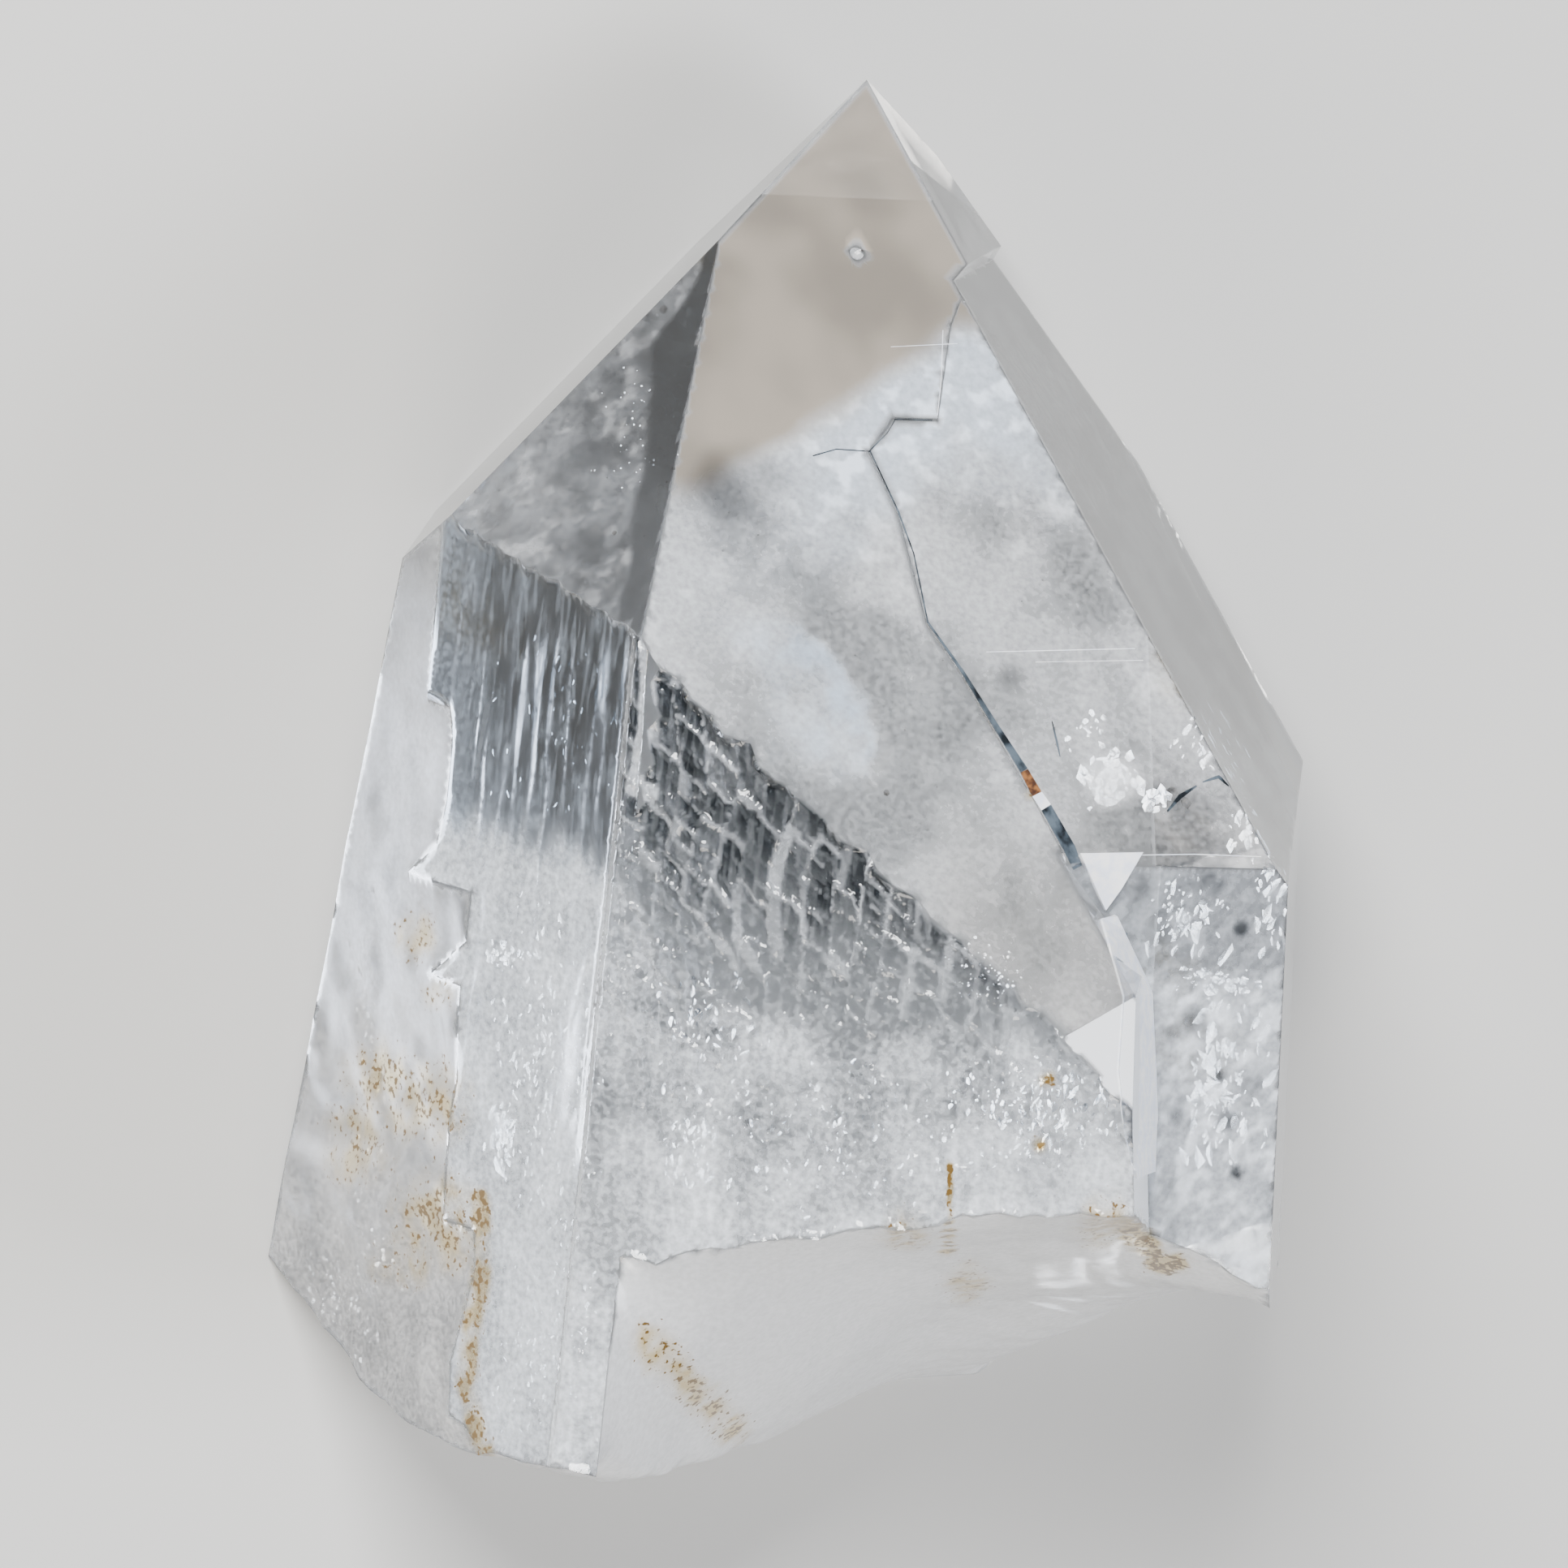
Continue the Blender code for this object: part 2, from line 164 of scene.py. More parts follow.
# The crystal. One piece of colourless alpine quartz that grew in an open cleft: flat glossy tip faces, a
# front face stepped like parquet, a ribbed and a rough left side, and a shell shaped break at its foot,
# where it left the rock. A face keeps what lies below its plane, in degrees and millimetres: azimuth 0
# faces up and +90 faces +X.
Face = namedtuple("Face", "azimuth slope distance")
MAIN_FACE = Face(0, 38.2, 0.0)
FRONT_FACE = Face(-34, 0, 27.4)
RIBBED_FACE = Face(-70, 0, 23.95)
ROUGH_FACE = Face(-82, -2.3, 24.6)
FLAT_FACES = {
    "main": MAIN_FACE,
    "left_tip": Face(-60, 38.2, 4.4),
    "far_left_tip": Face(-117, 38.7, 0.0),
    "right_tip": Face(60, 38.2, 0.0),
    "tip_step": Face(60, 38.2, -0.9),
    "tip_step_riser": Face(56, -30, 10.05),
    "back_right_tip": Face(120, 38.2, 2.7),
    "back_tip": Face(180, 38.2, 0.0),
    "rest": Face(180, 0, 8.0),
    "back_left": Face(-120, 6.4, 16.8),
    "back_right": Face(120, 2.0, 18.7),
    "right": Face(64, 3.5, 23.9),
    "strip": Face(-51, 1.3, 26.35),
    "plate_top": Face(0, 0, 27.4),
    "plate_riser": Face(62, 7.1, 14.9),
    "plate_tip_riser": Face(60, 38.2, -8.9),
    "corner": Face(2.5, 34.4, 3.64),
}
RELIEF_FACES = {"front": (FRONT_FACE, 0.95), "ribbed": (RIBBED_FACE, 0.6), "rough": (ROUGH_FACE, 1.3)}
ZONES = [*FLAT_FACES, *RELIEF_FACES, "foot", "ledge"]
FLAT_WITHIN = 0.02
LEDGE_DEEPEST = 0.6
SAME_WAY = 0.999
ABOUT_SAME_WAY = 0.55
FOOT_BELOW = -44.0

# The longest edge that the mesh of each zone keeps, in millimetres.
EDGE_LIMIT = {
    "front": 0.26,
    "ribbed": 0.44,
    "rough": 0.65,
    "foot": 0.96,
    "ledge": 0.50,
    "main": 0.68,
    "left_tip": 0.60,
    "tip_step": 0.80,
    "far_left_tip": 0.80,
    "right": 1.20,
    "plate_top": 0.45,
    "plate_riser": 0.55,
    "corner": 0.50,
}
FLAT_EDGE_LIMIT = 4.0


def normal_of(face):
    azimuth = math.radians(face.azimuth)
    slope = math.radians(face.slope)
    return Vector((math.sin(azimuth) * math.cos(slope), math.sin(slope), math.cos(azimuth) * math.cos(slope)))


def across_of(face):
    azimuth = math.radians(face.azimuth)
    return Vector((math.cos(azimuth), 0.0, -math.sin(azimuth)))


def zone_of(face):
    """The name of the growth face, or of the kind of break, that a face of the CAD mesh belongs to."""
    corners = [vert.co for vert in face.verts]
    for name, plane in FLAT_FACES.items():
        normal = normal_of(plane)
        off = max(abs(normal.dot(corner) - plane.distance) for corner in corners)
        within = LEDGE_DEEPEST if name == "main" else FLAT_WITHIN
        if off < within and normal.dot(face.normal) > SAME_WAY:
            return name
    for name, (plane, within) in RELIEF_FACES.items():
        normal = normal_of(plane)
        off = max(abs(normal.dot(corner) - plane.distance) for corner in corners)
        if off < within and normal.dot(face.normal) > ABOUT_SAME_WAY:
            return name
    return "foot" if face.calc_center_median().y < FOOT_BELOW else "ledge"


def too_long(edge):
    """Whether an edge is longer than the zones beside it keep."""
    limits = [EDGE_LIMIT.get(ZONES[face[zone_layer]], FLAT_EDGE_LIMIT) for face in edge.link_faces]
    return edge.calc_length() > min(limits)


WELD_WITHIN = 0.001
crystal = bpy.data.objects.new("crystal", cad_mesh.copy())
bpy.context.scene.collection.objects.link(crystal)
bm = bmesh.new()
bm.from_mesh(crystal.data)
bmesh.ops.translate(bm, verts=bm.verts, vec=-tip)
bmesh.ops.scale(bm, verts=bm.verts, vec=(1 / MM, 1 / MM, 1 / MM))
bmesh.ops.remove_doubles(bm, verts=bm.verts, dist=WELD_WITHIN)
bm.normal_update()
zone_layer = bm.faces.layers.int.new("zone")
for face in bm.faces:
    face[zone_layer] = ZONES.index(zone_of(face))
ROUNDS_OF_SPLITS = 9
for _ in range(ROUNDS_OF_SPLITS):
    split = [edge for edge in bm.edges if too_long(edge)]
    if not split:
        break
    bmesh.ops.subdivide_edges(bm, edges=split, cuts=1)
    bmesh.ops.triangulate(bm, faces=[face for face in bm.faces if len(face.verts) > 3])

# The skin as arrays: its points, its edges, and for each point the one zone it lies in, or -1 on a border.
bm.verts.ensure_lookup_table()
points = np.array([vert.co for vert in bm.verts])
edges = np.array([[vert.index for vert in edge.verts] for edge in bm.edges])
point_zone = np.full(len(points), -1)
for vert in bm.verts:
    beside = {face[zone_layer] for face in vert.link_faces}
    if len(beside) == 1:
        point_zone[vert.index] = beside.pop()
borders = np.flatnonzero(point_zone < 0)
border_tree = kdtree.KDTree(len(borders))
for index in borders:
    border_tree.insert(points[index], index)
border_tree.balance()
from_border = np.array([border_tree.find(place)[2] for place in points])


def in_zone(*names):
    """Which points lie in these zones, borders left out."""
    return np.isin(point_zone, [ZONES.index(name) for name in names])


def smooth_step(low, high, value):
    share = np.clip((value - low) / (high - low), 0.0, 1.0)
    return share * share * (3.0 - 2.0 * share)


def lumps(x, y, z=0.0):
    """Smooth noise from about -1 to 1 over arrays of places, one lump a unit.

    A bare number for z, here and where it is called turn, only picks which lumps come up.
    """
    x, y, z = np.broadcast_arrays(x, y, z)
    return np.array([noise.noise(place) for place in zip(x.tolist(), y.tolist(), z.tolist())])


CHANCE_STEPS = (12.9898, 78.233, 37.719)
CHANCE_SCALE = 43758.5453


def chance(x, y, turn):
    """An even chance from 0 to 1 for each pair of whole numbers, the same each run."""
    for_x, for_y, for_turn = CHANCE_STEPS
    mixed = np.sin(x * for_x + y * for_y + turn * for_turn) * CHANCE_SCALE
    return mixed - np.floor(mixed)


def relax(moving, rounds):
    """Evens out the points that may move, each towards the middle of its neighbours."""
    first, second = edges.T
    count = np.bincount(first, minlength=len(points)) + np.bincount(second, minlength=len(points))
    for _ in range(rounds):
        for axis in range(3):
            total = np.bincount(first, points[second, axis], len(points))
            total += np.bincount(second, points[first, axis], len(points))
            points[moving, axis] = (total / count)[moving]


# The broken and the rough skin is rounded first, and the front and the ribbed face are laid flat, so that the
# fine relief below is all they carry. It fades out towards the borders, which stay where they are.
RELAX_ROUNDS = 24
FLATTEN_WITHIN = 0.5
INSET = 0.12
relax(np.flatnonzero(in_zone("foot", "rough")), RELAX_ROUNDS)
for name in ("front", "ribbed"):
    plane = RELIEF_FACES[name][0]
    normal = np.array(normal_of(plane))
    own = in_zone(name)
    share = smooth_step(0.0, FLATTEN_WITHIN, from_border[own])
    height = points[own] @ normal - plane.distance + INSET
    points[own] -= (share * height)[:, None] * normal

# Places as the photograph shows them, in millimetres from the tip: across to the right, and down.
seen_across = points @ np.array(picture_right)
seen_down = -(points @ np.array(picture_up))
seen_deep = points @ np.array(TOWARDS_CAMERA)


def seen_lumps(width, height, turn):
    """Lumps of this width and height in the photograph, and as deep as they are high."""
    return lumps(seen_across / width, seen_down / height, seen_deep / height + turn)


# The front face. Columns along the long axis are crossed by steps that run like the edge of the main face.
COLUMN_WIDTH = 1.5
COLUMN_BEND = 1.1
COLUMN_BEND_SIZE = (7, 6)
COLUMN_WOBBLE = 0.10
COLUMN_WOBBLE_SIZE = (1.3, 1.7)
STEP_LENGTH = 1.6
STEP_LEAST = 0.6
STEP_SPREAD = 1.1
STEP_SHIFT = 9
STEP_BEND = 0.30
STEP_BEND_SIZE = 3
STEP_WOBBLE = 0.12
STEP_WOBBLE_SIZE = 0.8
RIBBON_LEAST = 0.02
RIBBON_SPREAD = 0.40
RIBBON_RARITY = 3.2
RIBBON_FAINTEST = 0.35
STEP_EDGE_LEAST = 0.03
STEP_EDGE_SPREAD = 0.20
STEP_EDGE_RARITY = 2.0
EDGE_SOFTNESS = 0.08
TONE_FADES_BY = 0.6
STEP_RIDGE = 0.85
SMALL_RIDGE = 0.45
RIDGE_HEIGHT = 0.13
CELL_HEIGHT = 0.22
CELL_TILT = 0.34
SMALL_COLUMN = 0.45
SMALL_STEP = 0.5
SMALL_RELIEF = 0.4
front_across = points @ np.array(across_of(FRONT_FACE))
step_way = normal_of(MAIN_FACE).cross(normal_of(FRONT_FACE)).normalized()
below_edge = -(points @ np.array(normal_of(FRONT_FACE).cross(step_way)))
below_edge -= below_edge[in_zone("front")].min()


def front_lumps(width, length, turn):
    """Lumps of this width across the front face, and of this length down the crystal."""
    return lumps(front_across / width, points[:, 1] / length, turn)


def parquet(width, length, turn):
    """One set of growth steps: its height, its ribbons, its step edges, and the tone of each cell, which sets
    the cell's painted shade and fades towards its foot.
    """
    bend = COLUMN_BEND * front_lumps(*COLUMN_BEND_SIZE, turn)
    bend += COLUMN_WOBBLE * front_lumps(*COLUMN_WOBBLE_SIZE, turn)
    place = (front_across + bend) / width
    column = np.floor(place)
    in_column = place - column
    own_length = length * (STEP_LEAST + STEP_SPREAD * chance(column, 0, turn))
    place = below_edge / own_length + STEP_SHIFT * chance(column, 0, turn + 1)
    place += STEP_BEND * front_lumps(STEP_BEND_SIZE, STEP_BEND_SIZE, turn + 4)
    place += STEP_WOBBLE * front_lumps(STEP_WOBBLE_SIZE, STEP_WOBBLE_SIZE, turn + 4)
    step = np.floor(place)
    in_step = place - step
    ribbon_width = RIBBON_LEAST + RIBBON_SPREAD * chance(column, step, turn + 2) ** RIBBON_RARITY
    ribbon = 1 - smooth_step(ribbon_width, ribbon_width + EDGE_SOFTNESS, in_column)
    ribbon *= RIBBON_FAINTEST + (1 - RIBBON_FAINTEST) * chance(column, step, turn + 9)
    step_width = STEP_EDGE_LEAST + STEP_EDGE_SPREAD * chance(column, step, turn + 3) ** STEP_EDGE_RARITY
    step_edge = 1 - smooth_step(step_width, step_width + EDGE_SOFTNESS, in_step)
    height = (chance(column, step, turn + 5) - 0.5) * CELL_HEIGHT
    height += CELL_TILT * (in_column - 0.5) * (chance(column, step, turn + 6) - 0.5)
    height += CELL_TILT * (in_step - 0.5) * (chance(column, step, turn + 7) - 0.5)
    tone = chance(column, step, turn + 8) * (1 - TONE_FADES_BY * in_step)
    return height, ribbon, step_edge, tone


height, ribbon, step_edge, tone = parquet(COLUMN_WIDTH, STEP_LENGTH, 1.0)
small = parquet(COLUMN_WIDTH * SMALL_COLUMN, STEP_LENGTH * SMALL_STEP, 21.0)
small_height, small_ribbon, small_edge, small_tone = small
ridge = np.maximum(ribbon, STEP_RIDGE * step_edge)
ridge = np.maximum(ridge, SMALL_RIDGE * np.maximum(small_ribbon, small_edge))
relief = height + SMALL_RELIEF * small_height + RIDGE_HEIGHT * ridge
RELIEF_FULL_ABOVE = 43.0
RELIEF_LEAST_BELOW = 56.0
RELIEF_LOST = 0.62
stepped = 1.0 - RELIEF_LOST * smooth_step(RELIEF_FULL_ABOVE, RELIEF_LEAST_BELOW, seen_down)
BORDER_FADE = 0.35
own = in_zone("front")
fade = smooth_step(0.0, BORDER_FADE, from_border)
points[own] += (relief * stepped * fade)[own, None] * np.array(normal_of(FRONT_FACE))

# The ribbed face: fine ribs along the long axis on broad, shallow swells. They break up and sink lower down.
RIB_WIDTH = 0.62
RIB_LENGTH = 8.0
RIB_WANDER = 0.6
BROKEN_RIB_LENGTH = 1.5
RIBS_BREAK = (38.0, 42.0)
RIB_HEIGHT = 0.05
RIBS_SINK = (34.0, 41.0)
RIB_SINKS_BY = 0.7
SWELL_WIDTH = 3.4
SWELL_LENGTH = 12
SWELL_HEIGHT = 0.12
ribbed_across = points @ np.array(across_of(RIBBED_FACE))
wander = RIB_WANDER * lumps(ribbed_across, points[:, 1] / 4, 7.0)
rib = lumps(ribbed_across / RIB_WIDTH + wander, points[:, 1] / RIB_LENGTH)
broken_rib = lumps(ribbed_across / RIB_WIDTH + 2 * wander, points[:, 1] / BROKEN_RIB_LENGTH, 5.0)
rib += (broken_rib - rib) * smooth_step(*RIBS_BREAK, seen_down)
swell = lumps(ribbed_across / SWELL_WIDTH, points[:, 1] / SWELL_LENGTH, 3.0)
own = in_zone("ribbed")
rib_height = RIB_HEIGHT * (1 - RIB_SINKS_BY * smooth_step(*RIBS_SINK, seen_down))
ribs_and_swells = fade * (rib_height * rib + SWELL_HEIGHT * swell)
points[own] += ribs_and_swells[own, None] * np.array(normal_of(RIBBED_FACE))

# The rough side is lumpy and pitted, more so towards the foot.
ROUGH_LUMP = (2.4, 3.0)
LUMP_HEIGHT = 0.26
ROUGH_PIT = (1.4, 1.6)
PIT_DEPTH = 0.12
ROUGH_FROM_TO = (-28.0, -50.0)
ROUGH_LEAST = 0.12
rough_across = points @ np.array(across_of(ROUGH_FACE))
lumpy = LUMP_HEIGHT * lumps(rough_across / ROUGH_LUMP[0], points[:, 1] / ROUGH_LUMP[1], 4.0)
lumpy += PIT_DEPTH * lumps(rough_across / ROUGH_PIT[0], points[:, 1] / ROUGH_PIT[1], 9.0)
lumpy *= smooth_step(*ROUGH_FROM_TO, points[:, 1]) + ROUGH_LEAST
own = in_zone("rough")
points[own] += (fade * lumpy)[own, None] * np.array(normal_of(ROUGH_FACE))

# The break is smooth, with fine shell ripples round the place where it began, and low lumps.
BREAK_BEGAN = (31.0, 38.0)
RIPPLE_LENGTH = 2.1
RIPPLE_HEIGHT = 0.05
RIPPLES_BENT_BY = 1.2
RIPPLE_BEND_SIZE = 6
FOOT_LUMP_WIDTH = 1.7
FOOT_LUMP_HEIGHT = 0.06
reach = np.hypot(points[:, 0] - BREAK_BEGAN[0], points[:, 2] - BREAK_BEGAN[1])
reach += RIPPLES_BENT_BY * lumps(points[:, 0] / RIPPLE_BEND_SIZE, points[:, 2] / RIPPLE_BEND_SIZE, 1.0)
shell = RIPPLE_HEIGHT * np.sin(2 * math.pi * reach / RIPPLE_LENGTH)
shell += FOOT_LUMP_HEIGHT * lumps(*(points[:, axis] / FOOT_LUMP_WIDTH for axis in (0, 2, 1)))
own = in_zone("foot")
points[own, 1] += (fade * shell)[own]

for vert, place in zip(bm.verts, points):
    vert.co = place
bm.normal_update()
towards_camera = np.array(TOWARDS_CAMERA)
facing = np.array([vert.normal for vert in bm.verts]) @ towards_camera
skin = BVHTree.FromBMesh(bm)
for vert, place in zip(bm.verts, points):
    vert.co = in_row(place)
SMOOTH_ZONES = [ZONES.index(name) for name in ("front", "ribbed", "rough", "foot")]
for face in bm.faces:
    face.smooth = face[zone_layer] in SMOOTH_ZONES
for edge in bm.edges:
    if len({face[zone_layer] for face in edge.link_faces}) > 1:
        edge.smooth = False
bm.to_mesh(crystal.data)
bm.free()

# What the skin and the quartz just under it look like from place to place, from 0 to 1: dark is painted
# darkness, which stands in for the dark surroundings that clear quartz shows through itself, milky is full of
# fluid filled flaws and under the tip is also a painted sheen, frosted is finely pitted, and iron is rust and
# ochre dirt. Places and sizes are in millimetres, across and down as the photograph shows them. A pair named
# OVER says where a change begins and where it is complete.
on_front = in_zone("front")
on_ribbed = in_zone("ribbed")
on_rough = in_zone("rough")
on_foot = in_zone("foot")
on_main = in_zone("main")
on_left_tip = in_zone("left_tip")
on_right_tip = in_zone("tip_step", "right_tip")
on_plate = in_zone("plate_top", "right")
FAR_AWAY = 99.0


def from_route(route):
    """How far each point is, as seen, from a line through these places of the photograph, in millimetres."""
    nearest = np.full(len(points), FAR_AWAY)
    for (x, y), (next_x, next_y) in zip(route, route[1:]):
        run_x, run_y = next_x - x, next_y - y
        share = ((seen_across - x) * run_x + (seen_down - y) * run_y) / (run_x**2 + run_y**2)
        share = np.clip(share, 0.0, 1.0)
        away = np.hypot(seen_across - x - share * run_x, seen_down - y - share * run_y)
        nearest = np.minimum(nearest, away)
    return nearest


HALF_SIZE_SHARE = 0.55
QUARTER_SIZE_SHARE = 0.30


def clouds(size, turn, low, high):
    """Soft clouds over the picture of the crystal, with lumps from this size down to a quarter of it."""
    total = seen_lumps(size, size, turn)
    total += HALF_SIZE_SHARE * seen_lumps(size / 2, size / 2, turn + 5)
    total += QUARTER_SIZE_SHARE * seen_lumps(size / 4, size / 4, turn + 9)
    return smooth_step(low, high, total)


def spots(places, core, rim, unevenness):
    """Ragged spots, each (across, down, radius, strength): full up to the core, and gone past the rim."""
    total = np.zeros(len(points))
    for x, y, radius, strength in places:
        away = np.hypot(seen_across - x, seen_down - y) / radius + unevenness * ragged
        total = np.maximum(total, strength * (1 - smooth_step(core, rim, away)))
    return total


def between(low, high, share):
    """The value that lies this share of the way from low to high."""
    return low + (high - low) * share


# The front face is painted dark above a slanting line, most of all in a band below its upper edge: painted
# darkness, which stands in for the dark surroundings seen through the clear quartz. Each cell has its own
# tone, and its painted shade is darkest at its top. The ribbons, the step edges and one strip down its left
# side stay pale.
RAGGED_SIZE = 2.2
RAGGED_BY = 0.9
DARK_ENDS = ([-20.0, -13.2, -9.1, -5.8, 0.0, 7.0], [37.6, 39.5, 46.5, 47.6, 48.0, 48.8])
DARK_BEGINS_OVER = (-1.2, 1.2)
DARK_DEEPENS_OVER = (1.0, 5.0)
DARK_NEAR_ITS_END = 0.55
LOW_BEGINS_OVER = (-0.8, 1.2)
DARK_BAND = ([-13.0, -6.0, 0.0, 3.0, 7.0], [14.0, 9.0, 5.0, 2.6, 1.6])
BAND_ENDS_OVER = (0.25, 1.05)
PALE_STRIP = [(-11.0, 27.9), (-11.2, 33.4), (-11.8, 36.3), (-11.0, 36.6)]
STRIP_ENDS_OVER = (0.35, 0.55)
STRIP_WOBBLE = 0.15
FRONT_DARKEST = 0.95
DARK_BELOW_BAND = 0.17
DARK_IN_BAND = 0.97
RIDGES_CLEARED = 0.95
CELL_TONES = (0.45, 1.30)
SMALL_CELL_TONES = (0.62, 1.22)
ragged = RAGGED_BY * seen_lumps(RAGGED_SIZE, RAGGED_SIZE, 6.0)
above_end = np.interp(seen_across, *DARK_ENDS) - seen_down + ragged
in_dark = smooth_step(*DARK_BEGINS_OVER, above_end)
in_dark *= between(DARK_NEAR_ITS_END, 1.0, smooth_step(*DARK_DEEPENS_OVER, above_end))
low = smooth_step(*LOW_BEGINS_OVER, -above_end)
band = np.interp(seen_across, *DARK_BAND)
near_edge = 1 - smooth_step(BAND_ENDS_OVER[0] * band, BAND_ENDS_OVER[1] * band, below_edge)
from_strip = from_route(PALE_STRIP) + STRIP_WOBBLE * seen_lumps(1.0, 1.5, 2.0)
ridge = np.maximum(ridge, 1 - smooth_step(*STRIP_ENDS_OVER, from_strip))
front_dark = FRONT_DARKEST * in_dark * between(DARK_BELOW_BAND, DARK_IN_BAND, near_edge)
front_dark *= between(*CELL_TONES, tone) * between(*SMALL_CELL_TONES, small_tone)
front_dark *= 1 - RIDGES_CLEARED * ridge

# The ribbed face is painted dark above that line too, most of all round one place, as painted darkness like
# the front face, and its ribs are pale streaks.
FINE_RIB = (0.4, 0.9)
BROAD_RIB = (1.4, 3.0)
RIB_SHARES = (0.20, 0.6, 0.7)
STREAKS_OVER = (-0.04, 0.56)
STREAKS_CLEARED = 0.55
RIBBED_DARK_BEGINS_OVER = (-2.2, 1.6)
RIBS_BREAK_THE_LINE = 1.5
RIBBED_CORE = (-13.6, 28.8)
CORE_FLATTENED = 0.75
CORE_ENDS_OVER = (1.5, 8.5)
DARK_OUT_OF_CORE = 0.38
DARK_IN_CORE = 0.80
RIBBED_DARK_MEAN = 0.9
RIBBED_DARK_SPREAD = 0.5
RIBBED_LEFT_OVER = (-21.5, -18.0)
fine_rib = lumps(ribbed_across / FINE_RIB[0], points[:, 1] / FINE_RIB[1], 2.0)
broad_rib = lumps(ribbed_across / BROAD_RIB[0] + wander, points[:, 1] / BROAD_RIB[1], 12.0)
streak = smooth_step(*STREAKS_OVER, np.array(RIB_SHARES) @ np.array([rib, fine_rib, broad_rib]))
ribbed_in_dark = smooth_step(*RIBBED_DARK_BEGINS_OVER, above_end + RIBS_BREAK_THE_LINE * rib)
from_core = np.hypot(seen_across - RIBBED_CORE[0], CORE_FLATTENED * (seen_down - RIBBED_CORE[1]))
core = 1 - smooth_step(*CORE_ENDS_OVER, from_core)
ribbed_dark = ribbed_in_dark * between(DARK_OUT_OF_CORE, DARK_IN_CORE, core) * (1 - STREAKS_CLEARED * streak)
ribbed_dark *= RIBBED_DARK_MEAN + RIBBED_DARK_SPREAD * lumps(ribbed_across, seen_down / 3, 8.0)
ribbed_dark *= smooth_step(*RIBBED_LEFT_OVER, seen_across + 0.8 * ragged)
dark = np.where(on_front, front_dark, 0.0) + np.where(on_ribbed, ribbed_dark, 0.0)

# The left tip face is painted dark along the edge that it shares with the main face, and mottled beyond. The
# far left one is painted deep grey, and the rough side a little dark above. All of this is painted darkness,
# which stands in for the dark surroundings seen through the quartz.
LEFT_TIP_EDGE = ([9.0, 28.2], [-7.6, -11.3])
TIP_DARK_WIDTH = ([10.0, 14.0, 20.0, 28.0], [0.5, 2.6, 1.9, 1.3])
TIP_DARK_ENDS_OVER = (0.75, 1.15)
TIP_DARKEST = 0.76
TIP_FADES_OVER = (15.0, 26.0)
TIP_FADES_BY = 0.35
MOTTLED_DARK = (0.10, 0.40)
MOTTLES_FADE_OVER = (3.0, 8.0)
MOTTLES_FADE_BY = 0.5
FAR_LEFT_DARK = (0.62, 0.92)
ROUGH_DARK = 0.03
ROUGH_DARK_ABOVE = 0.14
ROUGH_DARK_CLOUDS = 0.06
ROUGH_PALES_OVER = (40.0, 56.0)
from_main_edge = np.interp(seen_down, *LEFT_TIP_EDGE) - seen_across
dark_width = np.interp(seen_down, *TIP_DARK_WIDTH) + 0.5 * ragged
dark_ends = (share * dark_width for share in TIP_DARK_ENDS_OVER)
tip_dark = TIP_DARKEST * (1 - smooth_step(*dark_ends, from_main_edge))
tip_dark *= 1 - TIP_FADES_BY * smooth_step(*TIP_FADES_OVER, seen_down)
mottles = clouds(1.7, 3.0, -0.4, 0.6)
mottles *= 1 - MOTTLES_FADE_BY * smooth_step(*MOTTLES_FADE_OVER, from_main_edge)
dark += np.where(on_left_tip, np.maximum(tip_dark, between(*MOTTLED_DARK, mottles)), 0.0)
dark += np.where(in_zone("far_left_tip"), between(*FAR_LEFT_DARK, clouds(3.0, 71.0, -0.5, 0.6)), 0.0)
rough_dark = ROUGH_DARK + ROUGH_DARK_ABOVE * (1 - smooth_step(*ROUGH_PALES_OVER, seen_down))
rough_dark += ROUGH_DARK_CLOUDS * clouds(2.2, 77.0, -0.2, 0.7)
dark += np.where(on_rough, rough_dark, 0.0)

# The right tip faces are streaked with painted darkness along their long edges, and the ledge between them is
# painted dark as shade.
EDGE_WAY = (0.49, 0.87)
EDGE_STREAKS_OVER = (-0.3, 0.5)
RIGHT_TIP_DARK = (0.42, 0.74)
RIGHT_TIP_PALES_OVER = (30.0, 36.0)
RIGHT_TIP_PALES_BY = 0.5
LEDGE_BELOW = 25.0
LEDGE_DARK = 0.8
along_edge = EDGE_WAY[0] * seen_across + EDGE_WAY[1] * seen_down
aside_edge = EDGE_WAY[1] * seen_across - EDGE_WAY[0] * seen_down
edge_streaks = lumps(aside_edge / 0.9, along_edge / 5, 3.0) + 0.5 * lumps(aside_edge, along_edge, 8.0)
edge_streaks = smooth_step(*EDGE_STREAKS_OVER, edge_streaks)
right_dark = between(*RIGHT_TIP_DARK, edge_streaks)
right_dark *= 1 - RIGHT_TIP_PALES_BY * smooth_step(*RIGHT_TIP_PALES_OVER, seen_down)
dark += np.where(on_right_tip, right_dark, 0.0)
dark += np.where(in_zone("ledge") & (seen_down > LEDGE_BELOW) & (seen_across > 0.0), LEDGE_DARK, 0.0)

# Soft patches of painted darkness under the main face: (across, down, radius, strength).
PAINTED_DARK_PATCHES = [(-6.8, 21.6, 2.3, 0.22), (-5.0, 20.7, 1.3, 0.14), (7.2, 30.8, 0.8, 0.22), (-2.5, 26.0, 2.2, 0.06)]
dark += np.where(on_main, spots(PAINTED_DARK_PATCHES, core=0.2, rim=1.3, unevenness=0.4), 0.0)
